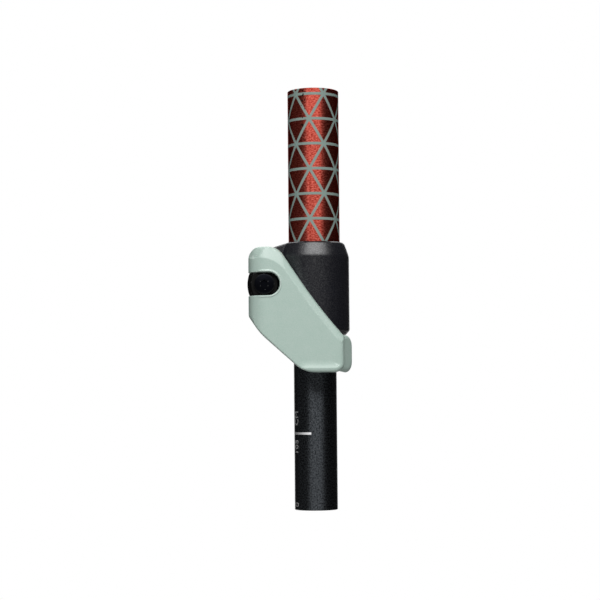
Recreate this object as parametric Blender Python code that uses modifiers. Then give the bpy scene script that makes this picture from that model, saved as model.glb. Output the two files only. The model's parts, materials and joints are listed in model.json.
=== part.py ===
"""Lever-lock joint of a telescopic walking pole, with both tubes cut square above and below the lock.

Sizes are in millimetres and turn into metres where a mesh is made. The origin lies on the pole's axis
at the cut end of the upper tube. +Z runs up the pole, and the closed lever lies on the -Y side.
"""

import math

import bmesh
import bpy

MM = 0.001

# Tubes of the pole: the lower one runs inside the upper one
UPPER_OD = 18.0
UPPER_WALL = 0.9
UPPER_SHOWN = 53.75
TELESCOPE_GAP = 0.6
LOWER_WALL = 0.9
LOWER_SHOWN = 60.5
LOWER_OVERLAP = 16.0

# Clearances of the fits
BOND_GAP = 0.1
SLIDE_GAP = 0.1
SEAT_GAP = 0.1
TURN_GAP = 0.1

# Clamp collar, its split ears and the screw hole through them
COLLAR_WALL = 3.1
COLLAR_HEIGHT = 32.6
SOCKET_DEPTH = 10.0
RIM_INSET = 1.6
RIM_HEIGHT = 5.2
RIM_ROUND = 0.5
MOUTH_INSET = 1.6
MOUTH_HEIGHT = 1.8
LEAD_IN = 0.5
SPLIT_WIDTH = 1.4
EAR_END_WALL = 2.65
EAR_FALL = 10.8
EAR_TOP_SLOPE = 17.0
EAR_TOP_DROP = 0.3
EAR_BACK_SEAT = 2.15
EAR_CORNER = 3.2

# Lever lock: drum, cam and swing
DRUM_BEYOND_COLLAR = 5.15
DRUM_BELOW_RIM = 15.15
DRUM_RADIUS = 5.9
DRUM_CROWN = 0.7
DRUM_FLAT = 3.8
SLOT_HEIGHT = 8.13
SLOT_END = 5.4
DRUM_END_GAP = 0.2
CAM_CLOSED = 6.2
CAM_LIFT = 1.0
LEVER_SWING = 135.0
CAM_OVERRUN = 8.0

# Lever plate, its edges and the finger tab
LEVER_GAP = 0.5
LEVER_PLATE = 3.5
HUB_FRONT = 5.5
LEVER_RISE = 12.95
LEVER_FALL = 30.45
HEAD_RUN = 4.6
KNEE_X = 1.5
KNEE_DROP = 8.6
ELBOW_DROP = 10.95
HEEL_X = -19.3
HEEL_DROP = 16.45
FOOT_START = -3.85
TIP_INSET = 3.9
TIP_ROUND = 1.5
TIP_SWEEP = 75.0
TAB_BEYOND_COLLAR = 0.75
TAB_HEIGHT = 12.5
TAB_TOP = 4.05
TAB_DROP = 2.0
TAB_SET_IN = 3.8
TAB_THICK = 2.0
TAB_ROOT = 2.8
BACK_SWEEP = 150.0
CAM_FOOT = 2.5
HUB_CORNER = 4.0
HEAD_CORNER = 6.5
TAB_CORNER = 2.6
TAB_ROOT_CORNER = 1.6
FOOT_CORNER = 10.0
ELBOW_CORNER = 2.0
HEEL_CORNER = 24.0
TOP_CHAMFER = 3.9
SIDE_CHAMFER = 2.45
CHAMFER_DEPTH = 1.8
EDGE_BREAK = 0.7
RING_LEAD = 0.4
CORE_SKIN = 2.6
CORE_WIDTH = 4.7
CORE_HEIGHT = 5.2
CORE_RIB = 1.4
CORE_COUNT = 3

# Cam plate, screw, nut and pivot pins
PLATE_THICK = 0.8
PLATE_WIDTH = 8.4
PLATE_LENGTH = 19.0
PLATE_PROUD = 0.1
SCREW_SHANK = 4.0
SCREW_HEAD = 7.0
HEAD_HEIGHT = 1.35
HEAD_DOME = 0.6
DOME_CURVE = 3.0
SCREW_POINT = 0.4
SOCKET_FLATS = 2.5
SOCKET_DEEP = 0.9
SCREW_TAIL = 1.8
NUT_FLATS = 7.0
NUT_THICK = 3.2
NUT_POCKET = 3.6
PIN_DIAMETER = 3.0
UPPER_PIN_LENGTH = 10.0
LOWER_PIN_LENGTH = 13.6
PIN_WEB = 0.3

# Plug and split bush on the inner end of the lower tube
PLUG_SPIGOT = 12.0
PLUG_FLANGE = 1.0
PLUG_CAP = 1.5
PLUG_VENT = 2.0
BUSH_WALL = 2.0
BUSH_LENGTH = 8.2
BUSH_SPLIT = 1.6

# Smoothness of the round shapes
TUBE_SIDES = 64
SMALL_SIDES = 32
CORNER_STEPS = 5
SLOT_STEPS = 8
CORE_STEPS = 3
CURVE_STEPS = 4
CROWN_STEPS = 6
BACK_STEPS = 20
CAM_STEPS = 22

# Heights along the pole and radii that follow from the sizes above
RIM_Z = -UPPER_SHOWN
MOUTH_Z = RIM_Z - COLLAR_HEIGHT
LOWER_END_Z = MOUTH_Z - LOWER_SHOWN
SHOULDER_Z = RIM_Z - SOCKET_DEPTH
LOWER_TOP_Z = RIM_Z + LOWER_OVERLAP
DRUM_Z = RIM_Z - DRUM_BELOW_RIM
UPPER_RADIUS = UPPER_OD / 2
UPPER_BORE = UPPER_RADIUS - UPPER_WALL
LOWER_RADIUS = UPPER_BORE - TELESCOPE_GAP
LOWER_BORE = LOWER_RADIUS - LOWER_WALL
BUSH_RADIUS = UPPER_BORE - SLIDE_GAP
BUSH_BORE = BUSH_RADIUS - BUSH_WALL
COLLAR_RADIUS = UPPER_RADIUS + BOND_GAP + COLLAR_WALL
CLAMP_BORE = LOWER_RADIUS + SLIDE_GAP
LEVER_BACK = COLLAR_RADIUS + LEVER_GAP
FRONT_Y = -(LEVER_BACK + LEVER_PLATE)
DRUM_X = -(COLLAR_RADIUS + DRUM_BEYOND_COLLAR)
DRUM_Y = FRONT_Y + HUB_FRONT
PLATE_FRONT_Y = DRUM_Y + CAM_CLOSED + SEAT_GAP
EAR_FRONT_Y = PLATE_FRONT_Y + PLATE_PROUD
NUT_SEAT_Y = SPLIT_WIDTH / 2 + EAR_BACK_SEAT
EAR_BACK_Y = NUT_SEAT_Y + NUT_POCKET
SCREW_RADIUS = SCREW_SHANK / 2
SCREW_HOLE = SCREW_RADIUS + 2 * TURN_GAP
HEAD_SEAT_Y = DRUM_Y - DRUM_FLAT
DRUM_BACK_Y = PLATE_FRONT_Y - CAM_LIFT - 2 * SEAT_GAP
SLOT_HALF = SLOT_HEIGHT / 2
DRUM_HALF = SLOT_HALF - DRUM_END_GAP
PIN_RADIUS = PIN_DIAMETER / 2
EAR_END_X = DRUM_X - SCREW_HOLE - EAR_END_WALL
LEVER_TOP_Z = DRUM_Z + LEVER_RISE
LEVER_FOOT_Z = DRUM_Z - LEVER_FALL
TIP_X = COLLAR_RADIUS - TIP_INSET
TAB_X = COLLAR_RADIUS + TAB_BEYOND_COLLAR
TAB_Y = -(LEVER_BACK - TAB_SET_IN)
CUT_OVER = 5.0


def clear_scene():
    for obj in list(bpy.data.objects):
        bpy.data.objects.remove(obj, do_unlink=True)


def new_collection(name):
    collection = bpy.data.collections.new(name)
    bpy.context.scene.collection.children.link(collection)
    return collection


def material(name, colour, roughness, metallic=0.0):
    """Principled material with a plain colour."""
    mat = bpy.data.materials.new(name)
    mat.use_nodes = True
    shader = mat.node_tree.nodes["Principled BSDF"]
    shader.inputs["Base Color"].default_value = (*colour, 1.0)
    shader.inputs["Roughness"].default_value = roughness
    shader.inputs["Metallic"].default_value = metallic
    return mat


def metres(point):
    return tuple(value * MM for value in point)


def link_mesh(name, mesh, collection, place=(0.0, 0.0, 0.0)):
    obj = bpy.data.objects.new(name, mesh)
    obj.location = metres(place)
    collection.objects.link(obj)
    return obj


def as_cutter(obj):
    obj.hide_render = True
    obj.display_type = "WIRE"
    return obj


def cut(obj, tool, operation="DIFFERENCE"):
    """Leave a live boolean on the piece."""
    modifier = obj.modifiers.new(operation.title(), "BOOLEAN")
    modifier.operation = operation
    modifier.object = tool


def turned(name, profile, collection, place=(0.0, 0.0, 0.0), along="Z", sides=TUBE_SIDES, ring=False):
    """Turn a profile of (radius, height) points, outer side running down, about an axis.

    A ring's profile closes on itself; any other profile starts and ends on the axis. Along "-Y", the
    profile's heights run towards -Y.
    """
    mesh = bpy.data.meshes.new(name)
    points = [metres((radius, 0.0, height)) for radius, height in profile]
    edges = [(i, i + 1) for i in range(len(points) - 1)]
    if ring:
        edges.append((len(points) - 1, 0))
    mesh.from_pydata(points, edges, [])
    obj = link_mesh(name, mesh, collection, place)
    if along == "-Y":
        obj.rotation_euler = (math.pi / 2, 0.0, 0.0)
    screw = obj.modifiers.new("Turn", "SCREW")
    screw.steps = sides
    screw.render_steps = sides
    screw.use_merge_vertices = True
    screw.merge_threshold = 0.00001
    screw.use_smooth_shade = True
    return obj


def cylinder(name, radius, low, high, collection, place=(0.0, 0.0, 0.0), along="Z"):
    profile = [(0.0, high), (radius, high), (radius, low), (0.0, low)]
    return turned(name, profile, collection, place, along, SMALL_SIDES)


def prism(name, outline, low, high, collection, along="Z"):
    """Extrude a flat outline from low to high: (x, y) points along Z, or (x, z) points along Y."""
    curve = bpy.data.curves.new(name, "CURVE")
    curve.dimensions = "2D"
    curve.fill_mode = "BOTH"
    curve.extrude = (high - low) / 2 * MM
    spline = curve.splines.new("POLY")
    spline.points.add(len(outline) - 1)
    for point, (u, v) in zip(spline.points, outline):
        point.co = (u * MM, v * MM, 0.0, 1.0)
    spline.use_cyclic_u = True
    sketch = bpy.data.objects.new(name, curve)
    collection.objects.link(sketch)
    middle = (high + low) / 2 * MM
    if along == "Z":
        sketch.location.z = middle
    else:
        sketch.rotation_euler.x = math.pi / 2
        sketch.location.y = middle
    bpy.context.view_layer.update()
    seen = sketch.evaluated_get(bpy.context.evaluated_depsgraph_get())
    mesh = bpy.data.meshes.new_from_object(seen)
    weld(mesh)
    obj = link_mesh(name, mesh, collection)
    obj.matrix_world = sketch.matrix_world
    bpy.data.objects.remove(sketch)
    obj.name = name
    return obj


def weld(mesh):
    work = bmesh.new()
    work.from_mesh(mesh)
    bmesh.ops.remove_doubles(work, verts=work.verts, dist=0.000001)
    bmesh.ops.recalc_face_normals(work, faces=work.faces)
    work.to_mesh(mesh)
    work.free()


def block(name, low, high, collection):
    """Box between two corners."""
    outline = [(low[0], low[1]), (high[0], low[1]), (high[0], high[1]), (low[0], high[1])]
    return prism(name, outline, low[2], high[2], collection)


def hexagon(flats, middle):
    """Hexagon of (x, z) points with two flats facing the sides."""
    reach = flats / math.sqrt(3)
    turns = [math.radians(30 + 60 * i) for i in range(6)]
    return [(middle[0] + reach * math.cos(a), middle[1] + reach * math.sin(a)) for a in turns]


def rounded(corners, steps=CORNER_STEPS):
    """Outline through (x, y, radius) corners, each turned into an arc of its radius."""
    points = []
    count = len(corners)
    for i, (x, y, radius) in enumerate(corners):
        if radius <= 0:
            points.append((x, y))
            continue
        before, after = corners[i - 1], corners[(i + 1) % count]
        back = math.atan2(before[1] - y, before[0] - x)
        ahead = math.atan2(after[1] - y, after[0] - x)
        opening = (ahead - back + math.pi) % (2 * math.pi) - math.pi
        middle = back + opening / 2
        reach = radius / math.sin(abs(opening) / 2)
        centre = (x + reach * math.cos(middle), y + reach * math.sin(middle))
        sweep = math.copysign(math.pi - abs(opening), -opening)
        start = back + math.copysign(math.pi / 2, -opening)
        for k in range(steps + 1):
            turn = start + sweep * k / steps
            points.append((centre[0] + radius * math.cos(turn), centre[1] + radius * math.sin(turn)))
    return points


def blended(start, corner, end):
    """Curve after start that turns at a corner and arrives at end."""
    points = []
    for k in range(1, CURVE_STEPS + 1):
        t = k / CURVE_STEPS
        weights = ((1 - t) ** 2, 2 * t * (1 - t), t ** 2)
        points.append(tuple(sum(w * p[i] for w, p in zip(weights, (start, corner, end))) for i in (0, 1)))
    return points


def inset(corners, amounts):
    """Move each edge of a counter-clockwise outline inwards by its own amount."""
    moved = []
    count = len(corners)
    lines = []
    for i in range(count):
        (x0, y0, _), (x1, y1, _) = corners[i], corners[(i + 1) % count]
        length = math.hypot(x1 - x0, y1 - y0)
        ux, uy = (x1 - x0) / length, (y1 - y0) / length
        lines.append((x0 - uy * amounts[i], y0 + ux * amounts[i], ux, uy))
    for i in range(count):
        px, py, pu, pv = lines[i - 1]
        qx, qy, qu, qv = lines[i]
        along = ((qx - px) * qv - (qy - py) * qu) / (pu * qv - pv * qu)
        moved.append((px + pu * along, py + pv * along, corners[i][2]))
    return moved


def loft(name, rings, collection, place):
    """Closed body through rings of points that lie one behind the other along Y."""
    body = bmesh.new()
    rows = []
    for ring in rings:
        rows.append([body.verts.new(metres([p - o for p, o in zip(point, place)])) for point in ring])
    count = len(rows[0])
    for front, back in zip(rows, rows[1:]):
        for i in range(count):
            j = (i + 1) % count
            body.faces.new((front[i], front[j], back[j], back[i]))
    body.faces.new(rows[0])
    body.faces.new(rows[-1])
    bmesh.ops.recalc_face_normals(body, faces=body.faces)
    mesh = bpy.data.meshes.new(name)
    body.to_mesh(mesh)
    body.free()
    return link_mesh(name, mesh, collection, place)


def tube(name, radius, bore, top, bottom, collection):
    profile = [(radius, top), (radius, bottom), (bore, bottom), (bore, top)]
    return turned(name, profile, collection, ring=True)


def crowned(radius, half):
    """Barrel profile that is fullest at its middle."""
    heights = [half * (1 - 2 * k / CROWN_STEPS) for k in range(CROWN_STEPS + 1)]
    sides = [(radius - DRUM_CROWN * (z / DRUM_HALF) ** 2, z) for z in heights]
    return [(0.0, half)] + sides + [(0.0, -half)]


def make_clamp_collar(parts, tools):
    """Split collar: bonded to the upper tube in its socket, closing on the lower tube below it."""
    rim_radius = COLLAR_RADIUS - RIM_INSET - RIM_ROUND
    outer = [
        (0.0, RIM_Z),
        (rim_radius, RIM_Z),
        (COLLAR_RADIUS - RIM_INSET, RIM_Z - RIM_ROUND),
        (COLLAR_RADIUS, RIM_Z - RIM_HEIGHT),
        (COLLAR_RADIUS, MOUTH_Z + MOUTH_HEIGHT),
        (COLLAR_RADIUS - MOUTH_INSET, MOUTH_Z),
        (0.0, MOUTH_Z),
    ]
    collar = turned("clamp_collar", outer, parts)
    slope = math.tan(math.radians(EAR_TOP_SLOPE))
    root_x = -LOWER_RADIUS
    ear_top = RIM_Z - EAR_TOP_DROP
    end_top = ear_top - slope * (-rim_radius - EAR_END_X)
    ears = [
        (root_x, MOUTH_Z + MOUTH_HEIGHT, 0),
        (root_x, ear_top, 0),
        (-rim_radius, ear_top, 0),
        (EAR_END_X, end_top, EAR_CORNER),
        (EAR_END_X, DRUM_Z - EAR_FALL, EAR_CORNER),
        (-COLLAR_RADIUS, MOUTH_Z + MOUTH_HEIGHT, 0),
    ]
    cut(collar, as_cutter(prism("ears", rounded(ears), EAR_FRONT_Y, EAR_BACK_Y, tools, "Y")), "UNION")
    bore = [
        (0.0, RIM_Z + CUT_OVER),
        (UPPER_RADIUS + BOND_GAP, RIM_Z + CUT_OVER),
        (UPPER_RADIUS + BOND_GAP, SHOULDER_Z),
        (CLAMP_BORE, SHOULDER_Z),
        (CLAMP_BORE, MOUTH_Z + LEAD_IN),
        (CLAMP_BORE + LEAD_IN, MOUTH_Z),
        (CLAMP_BORE + LEAD_IN, MOUTH_Z - CUT_OVER),
        (0.0, MOUTH_Z - CUT_OVER),
    ]
    cut(collar, as_cutter(turned("collar_bore", bore, tools)))
    half = SPLIT_WIDTH / 2
    low = (EAR_END_X - CUT_OVER, -half, MOUTH_Z - CUT_OVER)
    cut(collar, as_cutter(block("ear_split", low, (0.0, half, RIM_Z + CUT_OVER), tools)))
    reach = EAR_BACK_Y + CUT_OVER
    place = (DRUM_X, 0.0, DRUM_Z)
    cut(collar, as_cutter(cylinder("screw_hole", SCREW_HOLE, -reach, reach, tools, place, "-Y")))
    nut = hexagon(NUT_FLATS + 2 * SLIDE_GAP, (DRUM_X, DRUM_Z))
    cut(collar, as_cutter(prism("nut_pocket", nut, NUT_SEAT_Y, EAR_BACK_Y + CUT_OVER, tools, "Y")))
    seat = plate_outline(SEAT_GAP)
    floor = PLATE_FRONT_Y + PLATE_THICK + SEAT_GAP
    cut(collar, as_cutter(prism("plate_seat", seat, EAR_FRONT_Y - CUT_OVER, floor, tools, "Y")))
    return collar


def plate_outline(extra):
    """Round-ended outline of the cam plate, grown by a gap."""
    half_width = PLATE_WIDTH / 2 + extra
    half_length = PLATE_LENGTH / 2 + extra
    radius = PLATE_WIDTH / 4
    corners = [
        (DRUM_X - half_width, DRUM_Z - half_length, radius),
        (DRUM_X + half_width, DRUM_Z - half_length, radius),
        (DRUM_X + half_width, DRUM_Z + half_length, radius),
        (DRUM_X - half_width, DRUM_Z + half_length, radius),
    ]
    return rounded(corners)


def make_cam_plate(parts, tools):
    """Steel plate in the front ear that the lever's cams press on."""
    back = PLATE_FRONT_Y + PLATE_THICK
    plate = prism("cam_plate", plate_outline(0.0), PLATE_FRONT_Y, back, parts, "Y")
    place = (DRUM_X, PLATE_FRONT_Y, DRUM_Z)
    hole = cylinder("plate_hole", SCREW_HOLE, -CUT_OVER, CUT_OVER, tools, place, "-Y")
    cut(plate, as_cutter(hole))
    return plate


def make_pivot_drum(parts, tools):
    """Barrel between the lever's arms, flat in front for the screw's head and behind to clear the plate."""
    place = (DRUM_X, DRUM_Y, DRUM_Z)
    drum = turned("pivot_drum", crowned(DRUM_RADIUS, DRUM_HALF), parts, place, sides=SMALL_SIDES)
    side = DRUM_RADIUS + CUT_OVER
    low = (DRUM_X - side, HEAD_SEAT_Y - side, DRUM_Z - side)
    high = (DRUM_X + side, HEAD_SEAT_Y, DRUM_Z + side)
    cut(drum, as_cutter(block("drum_front", low, high, tools)))
    low = (DRUM_X - side, DRUM_BACK_Y, DRUM_Z - side)
    high = (DRUM_X + side, DRUM_BACK_Y + side, DRUM_Z + side)
    cut(drum, as_cutter(block("drum_back", low, high, tools)))
    hole = SCREW_RADIUS + TURN_GAP
    cut(drum, as_cutter(cylinder("drum_hole", hole, -side, side, tools, place, "-Y")))
    web = hole + PIN_WEB
    socket = PIN_RADIUS + SEAT_GAP / 2
    cut(drum, as_cutter(cylinder("upper_pin_seat", socket, web, side, tools, place)))
    cut(drum, as_cutter(cylinder("lower_pin_seat", socket, -side, -web, tools, place)))
    return drum


def make_pivot_pins(parts):
    """Two dowels, driven in through the lever's arms into the ends of the drum."""
    place = (DRUM_X, DRUM_Y, DRUM_Z)
    inner = SCREW_RADIUS + TURN_GAP + PIN_WEB + SEAT_GAP
    upper = cylinder("upper_pivot_pin", PIN_RADIUS, inner, inner + UPPER_PIN_LENGTH, parts, place)
    lower = cylinder("lower_pivot_pin", PIN_RADIUS, -inner - LOWER_PIN_LENGTH, -inner, parts, place)
    return upper, lower


def lever_outline():
    """Front outline of the lever as (x, z, radius) corners, counter-clockwise from its foot."""
    left = DRUM_X - cam_radius(90.0) - TURN_GAP
    tab_top = LEVER_FOOT_Z + TAB_HEIGHT
    return [
        (FOOT_START, LEVER_FOOT_Z, FOOT_CORNER),
        (TAB_X, LEVER_FOOT_Z, TAB_CORNER),
        (TAB_X, tab_top, TAB_CORNER),
        (TAB_X - TAB_TOP, tab_top, TAB_ROOT_CORNER),
        (KNEE_X, DRUM_Z - KNEE_DROP, 0),
        (DRUM_X + HEAD_RUN, LEVER_TOP_Z, HEAD_CORNER),
        (left, LEVER_TOP_Z, HUB_CORNER),
        (left, DRUM_Z - ELBOW_DROP, ELBOW_CORNER),
        (HEEL_X, DRUM_Z - HEEL_DROP, HEEL_CORNER),
    ]


def lever_ring(depth):
    """Front outline of the lever at a depth behind its face, with the chamfer and the broken edges."""
    broken = max(0.0, EDGE_BREAK - depth)
    share = max(0.0, 1.0 - depth / CHAMFER_DEPTH)
    side, top = SIDE_CHAMFER * share, TOP_CHAMFER * share
    amounts = [broken, 0.0, broken, side, side, top, 0.0, broken, broken]
    outline = rounded(inset(lever_outline(), amounts))
    return [(x, FRONT_Y + depth, z) for x, z in outline]


def cam_radius(turn):
    """Distance from the drum's axis to the cam at an angle, in degrees, past the closed position."""
    return CAM_CLOSED - CAM_LIFT * turn / LEVER_SWING


def lever_plan():
    """Plan of the lever seen from above, clockwise from the cam's closed point round its front."""
    points = []
    last_turn = LEVER_SWING + CAM_OVERRUN
    for k in range(CAM_STEPS + 1):
        turn = last_turn * k / CAM_STEPS
        angle = math.radians(90 + turn)
        radius = cam_radius(turn)
        points.append((DRUM_X + radius * math.cos(angle), DRUM_Y + radius * math.sin(angle)))
    cam_end = points[-1]
    corner = (cam_end[0] + (cam_end[1] - FRONT_Y) * math.tan(math.radians(last_turn - 90)), FRONT_Y)
    points.extend(blended(cam_end, corner, (DRUM_X, FRONT_Y)))
    for k in range(CORNER_STEPS + 1):
        angle = math.radians(-90 + TIP_SWEEP * k / CORNER_STEPS)
        points.append((TIP_X + TIP_ROUND * math.cos(angle), FRONT_Y + TIP_ROUND * (1 + math.sin(angle))))
    tab_end = rounded([
        (TIP_X + TIP_ROUND, FRONT_Y + TAB_DROP, 0),
        (TAB_X, TAB_Y - TAB_THICK / 2, TAB_THICK / 2),
        (TAB_X - TAB_THICK, TAB_Y + TAB_THICK / 2, TAB_THICK / 2),
        (0.0, -LEVER_BACK - TAB_THICK, 0),
    ])
    points.extend(tab_end[:-1])
    first = -math.acos((TAB_X - TAB_ROOT) / LEVER_BACK)
    last = -math.radians(BACK_SWEEP)
    for k in range(BACK_STEPS + 1):
        angle = first + (last - first) * k / BACK_STEPS
        points.append((LEVER_BACK * math.cos(angle), LEVER_BACK * math.sin(angle)))
    points.append((DRUM_X + CAM_FOOT, DRUM_Y + CAM_CLOSED))
    return points


def make_lever(parts, tools):
    """Lever: a plate that lies over the collar, with two cam arms round the drum and a finger tab."""
    pivot = (DRUM_X, DRUM_Y, DRUM_Z)
    back = CAM_CLOSED + HUB_FRONT + CUT_OVER
    rings = [lever_ring(depth) for depth in (-RING_LEAD, EDGE_BREAK, CHAMFER_DEPTH, back)]
    lever = loft("lever", rings, parts, pivot)
    plan = prism("lever_plan", lever_plan(), LEVER_FOOT_Z - CUT_OVER, LEVER_TOP_Z + CUT_OVER, tools)
    cut(lever, as_cutter(plan), "INTERSECT")
    slot_x = DRUM_X + SLOT_END
    slot = [
        (DRUM_X - CAM_CLOSED - CUT_OVER, DRUM_Z - SLOT_HALF, 0),
        (slot_x, DRUM_Z - SLOT_HALF, SLOT_HALF),
        (slot_x, DRUM_Z + SLOT_HALF, SLOT_HALF),
        (DRUM_X - CAM_CLOSED - CUT_OVER, DRUM_Z + SLOT_HALF, 0),
    ]
    gap = rounded(slot, SLOT_STEPS)
    cut(lever, as_cutter(prism("lever_slot", gap, FRONT_Y - CUT_OVER, 0.0, tools, "Y")))
    room = crowned(DRUM_RADIUS + DRUM_END_GAP + TURN_GAP, DRUM_HALF + DRUM_END_GAP / 2)
    cut(lever, as_cutter(turned("drum_room", room, tools, pivot, sides=SMALL_SIDES)))
    bore = PIN_RADIUS + TURN_GAP
    cut(lever, as_cutter(cylinder("pin_bore", bore, -LEVER_FALL, LEVER_RISE + CUT_OVER, tools, pivot)))
    core_x = DRUM_X + DRUM_RADIUS + CORE_RIB
    for i in range(CORE_COUNT):
        top = DRUM_Z - SLOT_HALF + CORE_RIB / 2 - i * (CORE_HEIGHT + CORE_RIB)
        core = rounded([
            (core_x, top - CORE_HEIGHT, CORE_RIB / 2),
            (core_x + CORE_WIDTH, top - CORE_HEIGHT, CORE_RIB / 2),
            (core_x + CORE_WIDTH, top, CORE_RIB / 2),
            (core_x, top, CORE_RIB / 2),
        ], CORE_STEPS)
        cut(lever, as_cutter(prism(f"lever_core_{i + 1}", core, FRONT_Y + CORE_SKIN, 0.0, tools, "Y")))
    return lever


def make_tension_screw(parts, tools):
    """Low-headed screw through the drum and both ears; its profile's heights run towards -Y."""
    head = SCREW_HEAD / 2
    seat = -HEAD_SEAT_Y + SEAT_GAP
    tail = -(NUT_SEAT_Y + SEAT_GAP + NUT_THICK + SCREW_TAIL)
    top = seat + HEAD_HEIGHT
    shares = [k / CURVE_STEPS for k in range(CURVE_STEPS + 1)]
    dome = [(head * t, top - HEAD_DOME * t ** DOME_CURVE) for t in shares]
    shank = [
        (head, seat),
        (SCREW_RADIUS, seat),
        (SCREW_RADIUS, tail + SCREW_POINT),
        (SCREW_RADIUS - SCREW_POINT, tail),
        (0.0, tail),
    ]
    place = (DRUM_X, 0.0, DRUM_Z)
    screw = turned("tension_screw", dome + shank, parts, place, "-Y", SMALL_SIDES)
    key = hexagon(SOCKET_FLATS, (DRUM_X, DRUM_Z))
    socket = prism("key_socket", key, -top - CUT_OVER, -top + SOCKET_DEEP, tools, "Y")
    cut(screw, as_cutter(socket))
    return screw


def make_tension_nut(parts, tools):
    """Hexagon nut, kept from turning by its pocket in the rear ear."""
    low = NUT_SEAT_Y + SEAT_GAP
    outline = hexagon(NUT_FLATS, (DRUM_X, DRUM_Z))
    nut = prism("tension_nut", outline, low, low + NUT_THICK, parts, "Y")
    place = (DRUM_X, low, DRUM_Z)
    reach = NUT_THICK + CUT_OVER
    hole = cylinder("nut_hole", SCREW_RADIUS + TURN_GAP, -reach, reach, tools, place, "-Y")
    cut(nut, as_cutter(hole))
    return nut


def make_end_plug(parts):
    """Plug pressed into the lower tube, with a neck that carries the bush under a cap."""
    spigot = LOWER_BORE - SEAT_GAP
    flange = LOWER_TOP_Z + SEAT_GAP + PLUG_FLANGE
    neck_top = flange + BUSH_LENGTH + 2 * SEAT_GAP
    rim = LOWER_RADIUS - SLIDE_GAP
    neck = BUSH_BORE - SLIDE_GAP
    profile = [
        (PLUG_VENT, neck_top + PLUG_CAP),
        (rim - PLUG_CAP / 2, neck_top + PLUG_CAP),
        (rim, neck_top + PLUG_CAP / 2),
        (rim, neck_top),
        (neck, neck_top),
        (neck, flange),
        (rim, flange),
        (rim, LOWER_TOP_Z + SEAT_GAP),
        (spigot, LOWER_TOP_Z + SEAT_GAP),
        (spigot, LOWER_TOP_Z - PLUG_SPIGOT),
        (PLUG_VENT, LOWER_TOP_Z - PLUG_SPIGOT),
    ]
    return turned("end_plug", profile, parts, ring=True)


def make_guide_bush(parts, tools):
    """Split bush that snaps on to the plug's neck and runs in the upper tube."""
    low = LOWER_TOP_Z + PLUG_FLANGE + 2 * SEAT_GAP
    bush = tube("guide_bush", BUSH_RADIUS, BUSH_BORE, low + BUSH_LENGTH, low, parts)
    half = BUSH_SPLIT / 2
    corner = (0.0, -half, low - CUT_OVER)
    gap = block("bush_split", corner, (UPPER_RADIUS, half, low + BUSH_LENGTH + CUT_OVER), tools)
    cut(bush, as_cutter(gap))
    return bush


def finish(obj, mat, base):
    """Give a piece its material and hang it on the part's base empty."""
    obj.data.materials.clear()
    obj.data.materials.append(mat)
    obj.parent = base


def main():
    clear_scene()
    parts = new_collection("lever_lock_pole_joint")
    tools = new_collection("cutters")
    base = bpy.data.objects.new("pole_axis", None)
    parts.objects.link(base)

    red = material("red_anodised", (0.33, 0.055, 0.04), 0.38, 1.0)
    black = material("black_anodised", (0.02, 0.022, 0.024), 0.42, 1.0)
    collar_black = material("moulded_black", (0.018, 0.018, 0.02), 0.5)
    mint = material("moulded_mint", (0.41, 0.53, 0.475), 0.5)
    dark_steel = material("blackened_steel", (0.012, 0.012, 0.014), 0.4, 1.0)
    steel = material("bright_steel", (0.55, 0.55, 0.54), 0.35, 1.0)
    nylon = material("grey_nylon", (0.2, 0.2, 0.2), 0.55)

    upper_tube = tube("upper_tube", UPPER_RADIUS, UPPER_BORE, 0.0, SHOULDER_Z + SEAT_GAP, parts)
    lower_tube = tube("lower_tube", LOWER_RADIUS, LOWER_BORE, LOWER_TOP_Z, LOWER_END_Z, parts)
    finish(upper_tube, red, base)
    finish(lower_tube, black, base)
    finish(make_clamp_collar(parts, tools), collar_black, base)
    finish(make_cam_plate(parts, tools), steel, base)
    finish(make_pivot_drum(parts, tools), dark_steel, base)
    for pin in make_pivot_pins(parts):
        finish(pin, steel, base)
    finish(make_lever(parts, tools), mint, base)
    finish(make_tension_screw(parts, tools), dark_steel, base)
    finish(make_tension_nut(parts, tools), steel, base)
    finish(make_end_plug(parts), nylon, base)
    finish(make_guide_bush(parts, tools), nylon, base)


main()
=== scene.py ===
"""Looks of a lever-lock pole joint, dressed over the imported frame.

Lengths are in millimetres and turn into metres where a piece or the camera is placed. The stage and the
lamps are in metres. Z runs up the pole's axis, and the closed lever's face looks towards -Y. Angles round
the pole start at the front and grow towards +X.
"""

import json
import math

import bmesh
import bpy
from mathutils import Matrix, Quaternion, Vector


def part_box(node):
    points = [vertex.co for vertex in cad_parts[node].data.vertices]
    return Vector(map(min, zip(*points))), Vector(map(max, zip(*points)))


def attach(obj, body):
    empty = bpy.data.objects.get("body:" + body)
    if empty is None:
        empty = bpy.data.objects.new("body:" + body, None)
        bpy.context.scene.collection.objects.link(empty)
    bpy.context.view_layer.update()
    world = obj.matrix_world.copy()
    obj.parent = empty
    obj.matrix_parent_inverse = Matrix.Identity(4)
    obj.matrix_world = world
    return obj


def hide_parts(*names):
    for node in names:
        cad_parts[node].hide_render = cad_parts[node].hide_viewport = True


MM = 0.001
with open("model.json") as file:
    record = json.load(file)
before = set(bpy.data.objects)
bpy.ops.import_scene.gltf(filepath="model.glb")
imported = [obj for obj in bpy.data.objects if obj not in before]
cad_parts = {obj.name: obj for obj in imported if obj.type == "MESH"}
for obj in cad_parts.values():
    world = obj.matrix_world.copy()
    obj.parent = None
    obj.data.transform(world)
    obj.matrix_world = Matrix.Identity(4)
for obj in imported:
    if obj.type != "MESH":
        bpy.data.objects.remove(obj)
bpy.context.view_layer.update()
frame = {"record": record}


def corners(node):
    """Lowest and highest corner of a CAD node in millimetres."""
    low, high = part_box(node)
    return Vector(low) / MM, Vector(high) / MM


def joint_place(name):
    """Point on a joint's axis in millimetres."""
    joint = next(j for j in frame["record"]["behaviour"]["joints"] if j["name"] == name)
    return Vector(joint["pos_m"]) / MM


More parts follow.
